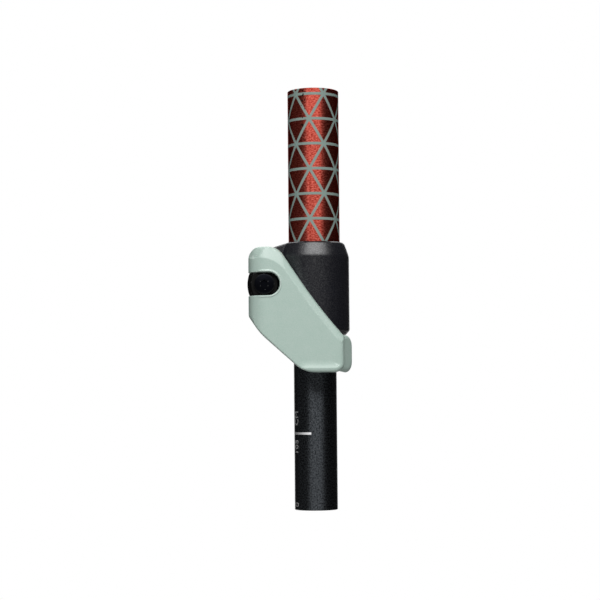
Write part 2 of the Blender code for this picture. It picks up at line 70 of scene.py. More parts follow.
# Tubes, from the frame
upper_low, upper_high = corners("upper_tube")
lower_low, lower_high = corners("lower_tube")
UPPER_RADIUS = upper_high.x
LOWER_RADIUS = lower_high.x
TUBE_WALL = 0.9
TUBE_EDGE = 0.15
TUBE_STEP = 2.0
TUBE_SIDES = 256

# Fittings inside the tubes
FIT_GAP = 0.1
BUSH_WALL = 2.0
BUSH_END = 0.5
BUSH_GAP_HALF = 0.8
BUSH_EDGE = 0.15
PLUG_NOSE = 0.75
PLUG_TAIL = 0.6
VENT_RADIUS = 2.0
VENT_EDGE = 0.35
RIB_PITCH = 2.4
RIB_DEEP = 0.25
RIB_MARGIN = 1.0

# Collar, from the frame and from the shapes moulded on it
collar_low, collar_high = corners("clamp_collar")
RIM_Z = collar_high.z
MOUTH_Z = collar_low.z
COLLAR_RADIUS = collar_high.x
EAR_END_X = collar_low.x
RIM_INSET = 1.78
RIM_HEIGHT = 5.2
RIM_CURVE = 1.2
RIM_ROUND = 0.35
MOUTH_INSET = 1.6
MOUTH_HEIGHT = 1.8
COLLAR_GAP = 0.1
COLLAR_VOXEL = 0.24
SOCKET_DEPTH = 10.0
LEAD_IN = 0.5
SPLIT_WIDTH = 1.4
EAR_FALL = 10.8
EAR_TOP_SLOPE = 17.0
EAR_TOP_DROP = 0.3
EAR_CORNER = 3.2

# Lever lock, from the frame
DRUM = joint_place("lever_swing")
lever_low, lever_high = corners("lever")
plate_low, plate_high = corners("cam_plate")
nut_low, nut_high = corners("tension_nut")
screw_low, screw_high = corners("tension_screw")
drum_low, drum_high = corners("pivot_drum")
FRONT_Y = lever_low.y
LEVER_GAP = 0.5
PLATE_PROUD = 0.1
PLATE_EDGE = 0.12
NUT_SUNK = 0.3
LEVER_BACK = COLLAR_RADIUS + LEVER_GAP
EAR_FRONT_Y = plate_low.y + PLATE_PROUD
EAR_BACK_Y = nut_high.y + NUT_SUNK
SCREW_HOLE = 2.2
NUT_FLATS = nut_high.x - nut_low.x

# Lever's outline, edges, slot and finger tab
HEAD_RUN = 4.6
KNEE_X = 1.5
KNEE_DROP = 8.6
ELBOW_DROP = 10.95
HEEL_X = -19.3
HEEL_DROP = 16.45
FOOT_START = -3.85
PAD_RIGHT = COLLAR_RADIUS - 2.45
PAD_CORNER = 3.2
PAD_TOP_DROP = 0.55
PAD_TOP_CORNER = 2.2
PAD_FACE_CORNER = 8.0
PAD_SOFT = 4.4
STRIP_WIDTH = 1.9
STRIP_DEPTH = 1.26
TAB_X = COLLAR_RADIUS + 1.05
TAB_HEIGHT = 13.05
TAB_FALL = 0.45
TAB_DROP = 0.45
TAB_STEP = 2.0
TAB_SUNK = 0.3
TAB_TURN = 55.0
TAB_THICK = 2.4
TAB_ROUND = 1.6
BACK_SWEEP = 150.0
CAM_CLOSED = 6.2
CAM_LIFT = 1.0
LEVER_SWING = 135.0
CAM_OVERRUN = 8.0
CAM_FOOT = 2.5
HUB_BLEND = 1.1
HUB_CORNER = 4.0
HEAD_CORNER = 6.5
HEAD_FACE_CORNER = 12.0
TAB_CORNER = 3.1
FOOT_CORNER = 10.0
KNEE_CORNER = 200.0
ELBOW_CORNER = 2.0
HEEL_CORNER = 24.0
TOP_CHAMFER = 3.9
SIDE_CHAMFER = 2.45
CHAMFER_DEPTH = 1.0
CHAMFER_BREAK = 0.5
EDGE_DEPTH = 1.7
CHAMFER_EDGE = 0.12
LEVER_PLATE = 2.4
EDGE_ROUND = 0.45
SLOT_HALF = 3.97
SLOT_END = 5.3
SLOT_EDGE = 0.15
BEAD_WIDTH = 0.85
BEAD_RISE = 0.3
BEAD_DEPTH = 0.6
BEAD_START_X = DRUM.x - 3.0
BEAD_FULL_X = DRUM.x - 1.0
ROOM_RADIUS = 6.2
DRUM_CROWN = 0.7
PIN_BORE = 1.6
LIP_RISE = 0.5
LIP_CREST = 1.42
LIP_RUN = 2.9
LIP_REACH = 6.0
LIP_START = -3.0
LIP_FADE = 4.5
LIP_TURN = (0.4, 1.4)
CORE_SKIN = 2.6
CORE_WIDTH = 4.7
CORE_HEIGHT = 5.2
CORE_RIB = 1.4
CORE_COUNT = 3
CORE_CLEAR = 1.1
LEVER_VOXEL = 0.16

# Screw, nut, drum and pins
SCREW_RADIUS = 2.0
SCREW_GAP = 0.1
SHANK_LENGTH = 6.0
TIP_CHAMFER = 0.4
THREAD_PITCH = 0.7
THREAD_DEPTH = 0.38
THREAD_STEPS = 10
HEAD_RADIUS = 3.5
HEAD_HEIGHT = 1.35
HEAD_DOME = 0.35
HEAD_EDGE = 0.28
HEAD_UNDER = 0.1
SOCKET_FLATS = 2.5
SOCKET_DEEP = 0.45
PIN_RADIUS = 1.5
PIN_EDGE = 0.25
PIN_GAP = 0.05
SEAT_WALL = 0.3
DRUM_VOXEL = 0.14
NUT_TURNED = 1.2
NUT_FALL = 0.7
NUT_LEAD = 0.6
NUT_LEAD_DEEP = 0.3
NUT_EDGE = 0.06

# Printed lattice: rows of triangles round the upper tube
LATTICE_PITCH = 65.6
LATTICE_TURN = 23.4
LATTICE_ROW_Z = RIM_Z + 51.72
LATTICE_ROW = 8.753
LATTICE_LINE = 0.94
LATTICE_SEAM = 1.6
LATTICE_RAGGED = 0.03
LATTICE_SOFT = 0.05
SCUFF_X = -3.6
SCUFF_CORE = 0.3
SCUFF_WIDTH = 1.3
SCUFF_RUN = 21.0
SCUFF_FULL = 12.6

# Printed scale on the lower tube
TICK_Z = MOUTH_Z - 33.98
TICK_HEIGHT = 0.78
TICK_FROM = -80.0
TICK_TO = -12.5
SCALE_BASE = -55.0
SCALE_CAP = 2.3
SCALE_STRETCH = 1.02
SCALE_SPACING = 1.05
CAP_SHARE = 0.7
UNIT_Z = MOUTH_Z - 31.25
NUMBER_Z = MOUTH_Z - 41.25
NEXT_NUMBER_Z = MOUTH_Z - 62.95
PRINT_PROUD = 0.03

# Lamps and the photograph's camera
LAMP_AIM_Z = -74.0
CAMERA_PLACE = (-5.14, -580.0, -108.95)
CAMERA_TILT = 3.482
CAMERA_ROLL = -0.4675
CAMERA_LENS = 99.2


def link(name, mesh):
    """New object in the scene."""
    obj = bpy.data.objects.new(name, mesh)
    bpy.context.scene.collection.objects.link(obj)
    return obj


def from_bmesh(name, work):
    """Object from a bmesh, with its faces turned outwards."""
    bmesh.ops.recalc_face_normals(work, faces=work.faces)
    mesh = bpy.data.meshes.new(name)
    work.to_mesh(mesh)
    work.free()
    return link(name, mesh)


def turned(name, rows, sides, centre=(0.0, 0.0, 0.0), along="Z", ring=False):
    """Turn rows of (radius, height) about an axis; a radius may be a function of the angle.

    A ring's rows close on themselves. Along "-Y", heights run towards -Y.
    """
    work = bmesh.new()
    loops = []
    for radius, height in rows:
        if radius == 0.0:
            loops.append([work.verts.new((0.0, 0.0, height))])
            continue
        loop = []
        for k in range(sides):
            angle = 2 * math.pi * k / sides
            reach = radius(angle) if callable(radius) else radius
            loop.append(work.verts.new((reach * math.cos(angle), reach * math.sin(angle), height)))
        loops.append(loop)
    pairs = list(zip(loops, loops[1:]))
    if ring:
        pairs.append((loops[-1], loops[0]))
    for first, second in pairs:
        for k in range(sides):
            n = (k + 1) % sides
            ends = ((first, k), (first, n), (second, n), (second, k))
            quad = [loop[i % len(loop)] for loop, i in ends]
            work.faces.new(list(dict.fromkeys(quad)))
    if along == "-Y":
        tipped = Matrix.Rotation(math.pi / 2, 3, "X")
        bmesh.ops.rotate(work, cent=(0, 0, 0), matrix=tipped, verts=work.verts)
    bmesh.ops.translate(work, vec=centre, verts=work.verts)
    return from_bmesh(name, work)


def mirrored(rows):
    """Rows of (radius, height), followed by their mirror image below."""
    return rows + [(radius, -height) for radius, height in reversed(rows)]


def rod(radius, reach):
    """Rows of a plain round bar that reaches as far up as down."""
    return mirrored([(0.0, reach), (radius, reach)])


def barrel(radius, half, steps):
    """Rows of the drum's barrel, which narrows towards its ends."""
    heights = [half * (1 - 2 * k / steps) for k in range(steps + 1)]
    wall = [(radius - DRUM_CROWN * (z / half) ** 2, z) for z in heights]
    return [(0.0, half), *wall, (0.0, -half)]


def prism(name, outline, low, high, along="Z"):
    """Extrude an outline of (x, y) points along Z, or of (x, z) points along Y."""
    work = bmesh.new()
    ends = []
    for level in (low, high):
        if along == "Z":
            points = [(u, v, level) for u, v in outline]
        else:
            points = [(u, level, v) for u, v in outline]
        ends.append([work.verts.new(point) for point in points])
        work.faces.new(ends[-1])
    count = len(outline)
    for i in range(count):
        j = (i + 1) % count
        work.faces.new((ends[0][i], ends[0][j], ends[1][j], ends[1][i]))
    return from_bmesh(name, work)


def block(name, low, high):
    """Box between two corners, as a cutter."""
    outline = [(low[0], low[1]), (high[0], low[1]), (high[0], high[1]), (low[0], high[1])]
    return prism(name, outline, low[2], high[2])


def loft(name, rings):
    """Closed body through rings of as many points each."""
    work = bmesh.new()
    rows = [[work.verts.new(point) for point in ring] for ring in rings]
    count = len(rows[0])
    for front, back in zip(rows, rows[1:]):
        for i in range(count):
            j = (i + 1) % count
            work.faces.new((front[i], front[j], back[j], back[i]))
    work.faces.new(rows[0])
    work.faces.new(rows[-1])
    return from_bmesh(name, work)


def rounded(points, steps=10):
    """Outline through (x, y, radius) corners, each turned into an arc."""
    outline = []
    count = len(points)
    for i, (x, y, radius) in enumerate(points):
        if radius <= 0:
            outline.append((x, y))
            continue
        before, after = points[i - 1], points[(i + 1) % count]
        back = math.atan2(before[1] - y, before[0] - x)
        ahead = math.atan2(after[1] - y, after[0] - x)
        opening = (ahead - back + math.pi) % (2 * math.pi) - math.pi
        reach = radius / math.sin(abs(opening) / 2)
        middle = back + opening / 2
        sweep = math.copysign(math.pi - abs(opening), -opening)
        start = back + math.copysign(math.pi / 2, -opening)
        for k in range(steps + 1):
            turn = start + sweep * k / steps
            outline.append((
                x + reach * math.cos(middle) + radius * math.cos(turn),
                y + reach * math.sin(middle) + radius * math.sin(turn),
            ))
    return outline


def round_box(x0, z0, x1, z1, radius):
    """Rectangle of (x, z) points with round corners."""
    return rounded([(x0, z0, radius), (x1, z0, radius), (x1, z1, radius), (x0, z1, radius)])


def inset(points, amounts):
    """Move each edge of a counter-clockwise outline inwards by its own amount."""
    lines = []
    count = len(points)
    for i in range(count):
        (x0, y0, _), (x1, y1, _) = points[i], points[(i + 1) % count]
        length = math.hypot(x1 - x0, y1 - y0)
        ux, uy = (x1 - x0) / length, (y1 - y0) / length
        lines.append((x0 - uy * amounts[i], y0 + ux * amounts[i], ux, uy))
    moved = []
    for i in range(count):
        px, py, pu, pv = lines[i - 1]
        qx, qy, qu, qv = lines[i]
        along = ((qx - px) * qv - (qy - py) * qu) / (pu * qv - pv * qu)
        moved.append((px + pu * along, py + pv * along, points[i][2]))
    return moved


def hexagon(flats):
    """Hexagon of (x, z) points about the screw's axis, with two flats facing the sides."""
    reach = flats / math.sqrt(3)
    turns = [math.radians(30 + 60 * i) for i in range(6)]
    return [(DRUM.x + reach * math.cos(a), DRUM.z + reach * math.sin(a)) for a in turns]


def settle(obj):
    """Apply a piece's modifiers to its mesh."""
    graph = bpy.context.evaluated_depsgraph_get()
    mesh = bpy.data.meshes.new_from_object(obj.evaluated_get(graph))
    old = obj.data
    obj.modifiers.clear()
    obj.data = mesh
    bpy.data.meshes.remove(old)
    mesh.name = obj.name


def cut(obj, tool, operation="DIFFERENCE"):
    """Cut a tool out of a piece, or join or cross them, and delete the tool."""
    modifier = obj.modifiers.new("Cut", "BOOLEAN")
    modifier.operation = operation
    modifier.object = tool
    settle(obj)
    bpy.data.objects.remove(tool)


def even(obj, voxel):
    """Remake a piece's mesh in even faces of a voxel size."""
    remesh = obj.modifiers.new("Even", "REMESH")
    remesh.mode = "VOXEL"
    remesh.voxel_size = voxel
    settle(obj)


def ease(obj, passes, keep=1.0, where=None):
    """Ease a piece's edges, all or where a test of a point holds, and keep a share of its faces."""
    smooth = obj.modifiers.new("Ease", "SMOOTH")
    smooth.factor = 0.5
    smooth.iterations = passes
    if where:
        group = obj.vertex_groups.new(name="eased")
        group.add([v.index for v in obj.data.vertices if where(v.co)], 1.0, "REPLACE")
        smooth.vertex_group = group.name
    if keep < 1.0:
        thin = obj.modifiers.new("Thin", "DECIMATE")
        thin.ratio = keep
    settle(obj)


def bevel(obj, width, angle=40.0):
    """Round a piece's sharp edges."""
    modifier = obj.modifiers.new("Round", "BEVEL")
    modifier.width = width
    modifier.segments = 3
    modifier.limit_method = "ANGLE"
    modifier.angle_limit = math.radians(angle)
    settle(obj)


def dress(obj, body, node, mat, crease=35.0):
    """Scale a piece to metres, shade it, and hang it on its body in place of a CAD node."""
    obj.data.transform(Matrix.Scale(MM, 4))
    obj.data.shade_smooth()
    obj.data.set_sharp_from_angle(angle=math.radians(crease))
    obj.data.materials.clear()
    obj.data.materials.append(mat)
    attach(obj, body)
    if node:
        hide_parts(node)


def smoothstep(low, high, value):
    """Smooth rise from 0 at low to 1 at high."""
    t = min(1.0, max(0.0, (value - low) / (high - low)))
    return t * t * (3 - 2 * t)


# Tubes and the fittings inside them
def tube_wall(name, radius, top, bottom):
    """Tube with its cut edges just broken."""
    bore = radius - TUBE_WALL
    edge = TUBE_EDGE
    levels = [0.0, edge, 2 * edge]
    levels += [top - bottom - level for level in reversed(levels)]
    count = round((top - bottom) / TUBE_STEP)
    wall = [top - level for level in levels[1:3]]
    wall += [top - (top - bottom) * k / count for k in range(1, count)]
    wall += [top - level for level in levels[3:5]]
    rows = [(bore + edge, top), (radius - edge, top)]
    rows += [(radius, level) for level in wall]
    rows += [(radius - edge, bottom), (bore + edge, bottom)]
    rows += [(bore, level) for level in reversed(wall)]
    return turned(name, rows, TUBE_SIDES, ring=True)


def make_end_plug():
    """Plug pressed into the lower tube, with a ribbed spigot and a neck for the bush."""
    low, high = corners("end_plug")
    bush_low, bush_high = corners("guide_bush")
    rim = high.x
    neck = bush_high.x - BUSH_WALL - FIT_GAP
    neck_top = bush_high.z + FIT_GAP
    neck_end = bush_low.z - FIT_GAP
    spigot = LOWER_RADIUS - TUBE_WALL - FIT_GAP
    flange = lower_high.z + FIT_GAP
    vent_rim = VENT_RADIUS + VENT_EDGE
    rows = [(vent_rim, high.z), (rim - PLUG_NOSE, high.z), (rim, high.z - PLUG_NOSE), (rim, neck_top)]
    rows += [(neck, neck_top), (neck, neck_end), (rim - FIT_GAP, neck_end)]
    rows += [(rim, neck_end - FIT_GAP), (rim, flange), (spigot, flange)]
    top = lower_high.z - RIB_MARGIN
    while top - RIB_PITCH > low.z + RIB_MARGIN:
        for drop, deep in ((0.0, 0.0), (0.3, RIB_DEEP), (0.8, RIB_DEEP), (1.1, 0.0)):
            rows.append((spigot - deep, top - drop))
        top -= RIB_PITCH
    rows += [(spigot, low.z + PLUG_TAIL), (spigot - PLUG_TAIL, low.z), (vent_rim, low.z)]
    rows += [(VENT_RADIUS, low.z + VENT_EDGE), (VENT_RADIUS, high.z - VENT_EDGE)]
    return turned("end_plug_moulded", rows, 96, ring=True)


def make_guide_bush():
    """Split bush with rounded ends, which snaps on to the plug's neck."""
    low, high = corners("guide_bush")
    bore = high.x - BUSH_WALL
    edge = BUSH_END
    rows = [
        (bore + edge, high.z),
        (high.x - edge, high.z),
        (high.x, high.z - edge),
        (high.x, low.z + edge),
        (high.x - edge, low.z),
        (bore + edge, low.z),
        (bore, low.z + edge),
        (bore, high.z - edge),
    ]
    bush = turned("guide_bush_moulded", rows, 128, ring=True)
    gap = BUSH_GAP_HALF
    over = 1.0
    cut(bush, block("bush_gap", (0.0, -gap, low.z - over), (UPPER_RADIUS, gap, high.z + over)))
    bevel(bush, BUSH_EDGE)
    return bush


# Collar
def make_collar():
    """Split collar with two ears, a curved shoulder, a screw hole and a nut pocket."""
    steps = 24
    shoulder = []
    for k in range(steps + 1):
        t = k / steps
        shoulder.append((COLLAR_RADIUS - RIM_INSET * (1 - t) ** RIM_CURVE, RIM_Z - RIM_HEIGHT * t))
    rim_radius = COLLAR_RADIUS - RIM_INSET
    lip = [(rim_radius - RIM_ROUND, RIM_Z), (rim_radius, RIM_Z - RIM_ROUND)]
    shoulder = [row for row in shoulder if row[1] < RIM_Z - RIM_ROUND]
    rows = [(0.0, RIM_Z), *lip, *shoulder]
    rows += [(COLLAR_RADIUS, MOUTH_Z + MOUTH_HEIGHT), (COLLAR_RADIUS - MOUTH_INSET, MOUTH_Z)]
    rows.append((0.0, MOUTH_Z))
    collar = turned("clamp_collar_moulded", rows, TUBE_SIDES)
    slope = math.tan(math.radians(EAR_TOP_SLOPE))
    root_x = -LOWER_RADIUS
    rim_x = -(rim_radius - RIM_ROUND)
    ear_top = RIM_Z - EAR_TOP_DROP
    ears = [
        (root_x, MOUTH_Z + MOUTH_HEIGHT, 0),
        (root_x, ear_top, 0),
        (rim_x, ear_top, 0),
        (EAR_END_X, ear_top - slope * (rim_x - EAR_END_X), EAR_CORNER),
        (EAR_END_X, DRUM.z - EAR_FALL, EAR_CORNER),
        (-COLLAR_RADIUS, MOUTH_Z + MOUTH_HEIGHT, 0),
    ]
    cut(collar, prism("ears", rounded(ears), EAR_FRONT_Y, EAR_BACK_Y, "Y"), "UNION")
    over = 5.0
    socket = UPPER_RADIUS + COLLAR_GAP
    bore = LOWER_RADIUS + COLLAR_GAP
    hollow = [
        (0.0, RIM_Z + over),
        (socket, RIM_Z + over),
        (socket, RIM_Z - SOCKET_DEPTH),
        (bore, RIM_Z - SOCKET_DEPTH),
        (bore, MOUTH_Z + LEAD_IN),
        (bore + LEAD_IN, MOUTH_Z),
        (bore + LEAD_IN, MOUTH_Z - over),
        (0.0, MOUTH_Z - over),
    ]
    cut(collar, turned("collar_bore", hollow, TUBE_SIDES))
    half = SPLIT_WIDTH / 2
    cut(collar, block("split", (EAR_END_X - over, -half, MOUTH_Z - over), (0.0, half, RIM_Z + over)))
    cut(collar, turned("screw_hole", rod(SCREW_HOLE, 4 * over), 64, (DRUM.x, 0.0, DRUM.z), "-Y"))
    pocket = hexagon(NUT_FLATS + 2 * COLLAR_GAP)
    cut(collar, prism("nut_pocket", pocket, nut_low.y - COLLAR_GAP, EAR_BACK_Y + over, "Y"))
    seat = plate_outline(COLLAR_GAP)
    cut(collar, prism("plate_seat", seat, EAR_FRONT_Y - over, plate_high.y + COLLAR_GAP, "Y"))
    even(collar, COLLAR_VOXEL)
    ease(collar, passes=4, keep=0.5)
    return collar


def plate_outline(extra):
    """Round-cornered outline of the steel plate in the front ear, grown by a gap."""
    radius = (plate_high.x - plate_low.x) / 4
    low_x, high_x = plate_low.x - extra, plate_high.x + extra
    return round_box(low_x, plate_low.z - extra, high_x, plate_high.z + extra, radius)


def make_cam_plate():
    """Steel plate that the lever's cams press on, with its edges stamped round."""
    plate = prism("cam_plate_stamped", plate_outline(0.0), plate_low.y, plate_high.y, "Y")
    over = 5.0
    cut(plate, turned("plate_hole", rod(SCREW_HOLE, over), 64, (DRUM.x, plate_low.y, DRUM.z), "-Y"))
    bevel(plate, PLATE_EDGE)
    return plate


# Lever
def cam_point(turn):
    """Point of the cam's plan at an angle, in degrees, past its closed position."""
    radius = CAM_CLOSED - CAM_LIFT * turn / LEVER_SWING
    angle = math.radians(90 + turn)
    return DRUM.x + radius * math.cos(angle), DRUM.y + radius * math.sin(angle)


def hub_curve():
    """Plan of the lever's hub, from its side round to the flat face."""
    last = LEVER_SWING + CAM_OVERRUN
    steps = 20
    points = [cam_point(90 + (last - 90) * k / steps) for k in range(steps + 1)]
    end = points[-1]
    corner = (end[0] + (end[1] - FRONT_Y) * math.tan(math.radians(last - 90)), FRONT_Y)
    knots = [Vector(knot) for knot in (end, corner, (DRUM.x + HUB_BLEND, FRONT_Y))]
    bends = 16
    for k in range(1, bends + 1):
        t = k / bends
        spot = knots[0] * (1 - t) ** 2 + knots[1] * 2 * t * (1 - t) + knots[2] * t ** 2
        points.append(tuple(spot))
    return points


HUB_CURVE = hub_curve()


def face_y(x):
    """Y of the lever's front at x: flat, and curving back round the hub."""
    for (x0, y0), (x1, y1) in zip(HUB_CURVE, HUB_CURVE[1:]):
        if x0 <= x <= x1:
            return y0 + (y1 - y0) * (x - x0) / (x1 - x0)
    return FRONT_Y if x > HUB_CURVE[-1][0] else HUB_CURVE[0][1]


def face_lean(x):
    """Length along Y of a step of one behind the lever's front at x."""
    reach = 1.0
    most = 3.0
    slope = (face_y(x + reach) - face_y(x - reach)) / (2 * reach)
    return min(most, math.hypot(1.0, slope))


def round_edge(depth, radius):
    """Inset of a rounded edge at a depth behind the surface."""
    left = max(0.0, radius - max(0.0, depth))
    return radius - math.sqrt(radius ** 2 - left ** 2)


def chamfer_edge(depth, width):
    """Inset of the broad chamfer at a depth: a flat band, then a steeper one, then the edge itself."""
    knots = [(0.0, width), (CHAMFER_DEPTH, CHAMFER_BREAK), (EDGE_DEPTH, CHAMFER_EDGE), (LEVER_PLATE, 0.0)]
    depth = min(max(depth, 0.0), LEVER_PLATE)
    for (d0, w0), (d1, w1) in zip(knots, knots[1:]):
        if depth <= d1:
            return w0 + (w1 - w0) * (depth - d0) / (d1 - d0)
    return 0.0


def lever_outline(depth):
    """Outline of the lever's plate, as (x, z) points, at a depth behind its face."""
    foot, top, left = lever_low.z, lever_high.z, lever_low.x
    edge = round_edge(depth, EDGE_ROUND)
    side = chamfer_edge(depth, SIDE_CHAMFER)
    head = chamfer_edge(depth, TOP_CHAMFER)
    left_over = max(0.0, 1.0 - max(0.0, depth) / STRIP_DEPTH)
    strip = STRIP_WIDTH * (1.0 - math.sqrt(1.0 - left_over ** 2))
    share = head / TOP_CHAMFER
    pad_corner = PAD_TOP_CORNER + (PAD_FACE_CORNER - PAD_TOP_CORNER) * share
    points = [
        (FOOT_START, foot, FOOT_CORNER),
        (PAD_RIGHT, foot, PAD_CORNER - strip / 2),
        (PAD_RIGHT, foot + TAB_HEIGHT - PAD_TOP_DROP, pad_corner),
        (KNEE_X, DRUM.z - KNEE_DROP, KNEE_CORNER),
        (DRUM.x + HEAD_RUN, top, HEAD_CORNER + (HEAD_FACE_CORNER - HEAD_CORNER) * share),
        (left, top, HUB_CORNER * (1 - share) + TUBE_EDGE),
        (left, DRUM.z - ELBOW_DROP, ELBOW_CORNER),
        (HEEL_X, DRUM.z - HEEL_DROP, HEEL_CORNER),
    ]
    return rounded(inset(points, [edge, strip, side, side, head, 0.0, edge, edge]), 16)


def lever_plan():
    """Plan of the lever seen from above: cam, hub, face, right end and hollow back."""
    over = 1.0
    end_x = PAD_RIGHT + over
    steps = 32
    points = [cam_point(90 * k / steps) for k in range(steps)]
    points.extend(HUB_CURVE)
    points.append((end_x, FRONT_Y))
    first = -math.acos(end_x / LEVER_BACK)
    sweep = -math.radians(BACK_SWEEP) - first
    steps = 60
    for k in range(steps + 1):
        angle = first + sweep * k / steps
        points.append((LEVER_BACK * math.cos(angle), LEVER_BACK * math.sin(angle)))
    points.append((DRUM.x + CAM_FOOT, DRUM.y + CAM_CLOSED))
    return points


def make_tab():
    """Finger tab: a rounded pad that leans back from the lever's right end."""
    lean = math.radians(TAB_TURN)
    along = Vector((math.cos(lean), math.sin(lean)))
    back = Vector((-math.sin(lean), math.cos(lean)))
    root = Vector((PAD_RIGHT - TAB_SUNK, FRONT_Y + TAB_STEP))
    reach = (TAB_X - root.x) / along.x
    low, high = lever_low.z - TAB_DROP, lever_low.z + TAB_HEIGHT
    inside = -1.0
    outline = [
        (inside, lever_low.z + TAB_DROP, 0),
        (reach, low, TAB_CORNER),
        (reach, high - TAB_FALL, TAB_CORNER),
        (inside, high, 0),
    ]
    rings = []
    steps = 16
    for k in range(steps + 1):
        depth = TAB_THICK * (1 - math.cos(math.pi * k / steps)) / 2
        edge = max(round_edge(depth, TAB_ROUND), round_edge(TAB_THICK - depth, TAB_ROUND / 2))
        ring = []
        for u, z in rounded(inset(outline, [edge, edge, edge, 0.0]), 16):
            spot = root + along * u + back * depth
            ring.append((spot.x, spot.y, z))
        rings.append(ring)
    return loft("tab", rings)


def raise_lip(obj):
    """Lift the lever's face to a crest along its foot, which fades up its right edge and to the left."""
    for vertex in obj.data.vertices:
        x, y, z = vertex.co
        from_foot = z - lever_low.z
        across = x - (PAD_RIGHT - PAD_CORNER)
        down = PAD_CORNER - from_foot
        if y > FRONT_Y + STRIP_DEPTH or from_foot > LIP_REACH:
            continue
        corner = across > 0 and down > 0
        inside = PAD_CORNER - math.hypot(across, down) if corner else min(from_foot, PAD_RIGHT - x)
        turn = math.atan2(max(across, 0.0), max(down, 0.001))
        ends = smoothstep(LIP_START - LIP_FADE, LIP_START, x) * (1 - smoothstep(*LIP_TURN, turn))
        if inside > LIP_CREST:
            rise = max(0.0, 1 - (inside - LIP_CREST) / LIP_RUN) ** 2
        else:
            rise = math.sin(math.pi / 2 * max(0.0, inside) / LIP_CREST)
        front = 1 - smoothstep(FRONT_Y + EDGE_ROUND, FRONT_Y + STRIP_DEPTH, y)
        vertex.co.y -= LIP_RISE * rise * ends * front


def slot_outline(grow):
    """Round-ended slot for the drum, open to the left, as (x, z) points."""
    over = 2.0
    half = SLOT_HALF + grow
    end, open_x = DRUM.x + SLOT_END + grow, lever_low.x - over
    steps = 24
    top = [(open_x + (end - half - open_x) * k / steps, DRUM.z + half) for k in range(steps)]
    turns = [math.pi * (0.5 - k / steps) for k in range(steps + 1)]
    arc = [(end - half + half * math.cos(turn), DRUM.z + half * math.sin(turn)) for turn in turns]
    bottom = [(x, 2 * DRUM.z - z) for x, z in reversed(top)]
    return top + arc + bottom


def raise_bead(obj):
    """Lift a fine bead round the mouth of the slot, clear of the part of the hub that is a cam."""
    end = DRUM.x + SLOT_END - SLOT_HALF
    for vertex in obj.data.vertices:
        x, y, z = vertex.co
        away = math.hypot(max(0.0, x - end), z - DRUM.z) - SLOT_HALF
        if 0.0 < away < BEAD_WIDTH and y - face_y(x) < BEAD_DEPTH:
            rise = BEAD_RISE * smoothstep(BEAD_START_X, BEAD_FULL_X, x)
            vertex.co.y -= rise * math.sin(math.pi * away / BEAD_WIDTH) ** 2


def make_lever():
    """Lever: a chamfered plate over the collar, two cam arms round the drum and a finger tab."""
    depths = [0.0, 0.06, 0.15, 0.28, 0.45, 0.65, 0.85, 1.0, 1.2, 1.45, 1.7, 2.0, 2.4, 3.0, 3.5]
    over = 5.0
    rings = [[(x, FRONT_Y - over, z) for x, z in lever_outline(0.0)]]
    for depth in depths:
        rings.append([(x, face_y(x) + depth * face_lean(x), z) for x, z in lever_outline(depth)])
    rings.append([(x, over, z) for x, z in lever_outline(depths[-1])])
    lever = loft("lever_moulded", rings)
    cut(lever, prism("plan", lever_plan(), lever_low.z - over, lever_high.z + over), "INTERSECT")
    cut(lever, make_tab(), "UNION")
    rings = []
    for depth, grow in ((-over, SLOT_EDGE), (0.0, SLOT_EDGE), (SLOT_EDGE, 0.0), (2 * over, 0.0)):
        rings.append([(x, face_y(x) + depth, z) for x, z in slot_outline(grow)])
    cut(lever, loft("slot", rings))
    half = drum_high.z - DRUM.z + COLLAR_GAP
    cut(lever, turned("drum_room", barrel(ROOM_RADIUS, half, 12), 96, DRUM))
    cut(lever, turned("pin_bore", rod(PIN_BORE, lever_high.z - lever_low.z), 64, DRUM))
    core_x = DRUM.x + ROOM_RADIUS + CORE_CLEAR
    for i in range(CORE_COUNT):
        top = DRUM.z - SLOT_HALF + CORE_RIB / 2 - i * (CORE_HEIGHT + CORE_RIB)
        core = round_box(core_x, top - CORE_HEIGHT, core_x + CORE_WIDTH, top, CORE_RIB / 2)
        cut(lever, prism("core", core, FRONT_Y + CORE_SKIN, 0.0, "Y"))
    even(lever, LEVER_VOXEL)
    raise_lip(lever)
    raise_bead(lever)
    pad_top = Vector((PAD_RIGHT - PAD_SOFT / 2, FRONT_Y, lever_low.z + TAB_HEIGHT - PAD_SOFT / 2))
    ease(lever, passes=30, where=lambda point: (point - pad_top).length < PAD_SOFT)
    ease(lever, passes=4)
    return lever


# Drum, pins, screw and nut
def make_drum():
    """Barrel in the lever's slot, flat in front and behind, drilled for the screw and the pins."""
    half = drum_high.z - DRUM.z
    radius = drum_high.x - DRUM.x
    drum = turned("pivot_drum_turned", barrel(radius, half, 20), 128, DRUM)
    side = 20.0
    for near, far in ((drum_low.y - side, drum_low.y), (drum_high.y, drum_high.y + side)):
        low = (DRUM.x - side, near, DRUM.z - side)
        high = (DRUM.x + side, far, DRUM.z + side)
        cut(drum, block("drum_flat", low, high))
    hole = SCREW_RADIUS + SCREW_GAP
    cut(drum, turned("drum_hole", rod(hole, side), 64, DRUM, "-Y"))
    seat = PIN_RADIUS + PIN_GAP
    floor = hole + SEAT_WALL
    for way in (1, -1):
        rows = [(0.0, way * side), (seat, way * side), (seat, way * floor), (0.0, way * floor)]
        cut(drum, turned("pin_seat", rows, 48, DRUM))
    even(drum, DRUM_VOXEL)
    ease(drum, passes=3, keep=0.5)
    return drum


def make_pin(name, node):
    """Steel dowel with chamfered ends."""
    low, high = corners(node)
    rows = [
        (0.0, high.z),
        (PIN_RADIUS - PIN_EDGE, high.z),
        (PIN_RADIUS, high.z - PIN_EDGE),
        (PIN_RADIUS, low.z + PIN_EDGE),
        (PIN_RADIUS - PIN_EDGE, low.z),
        (0.0, low.z),
    ]
    return turned(name, rows, 64, (DRUM.x, DRUM.y, 0.0))


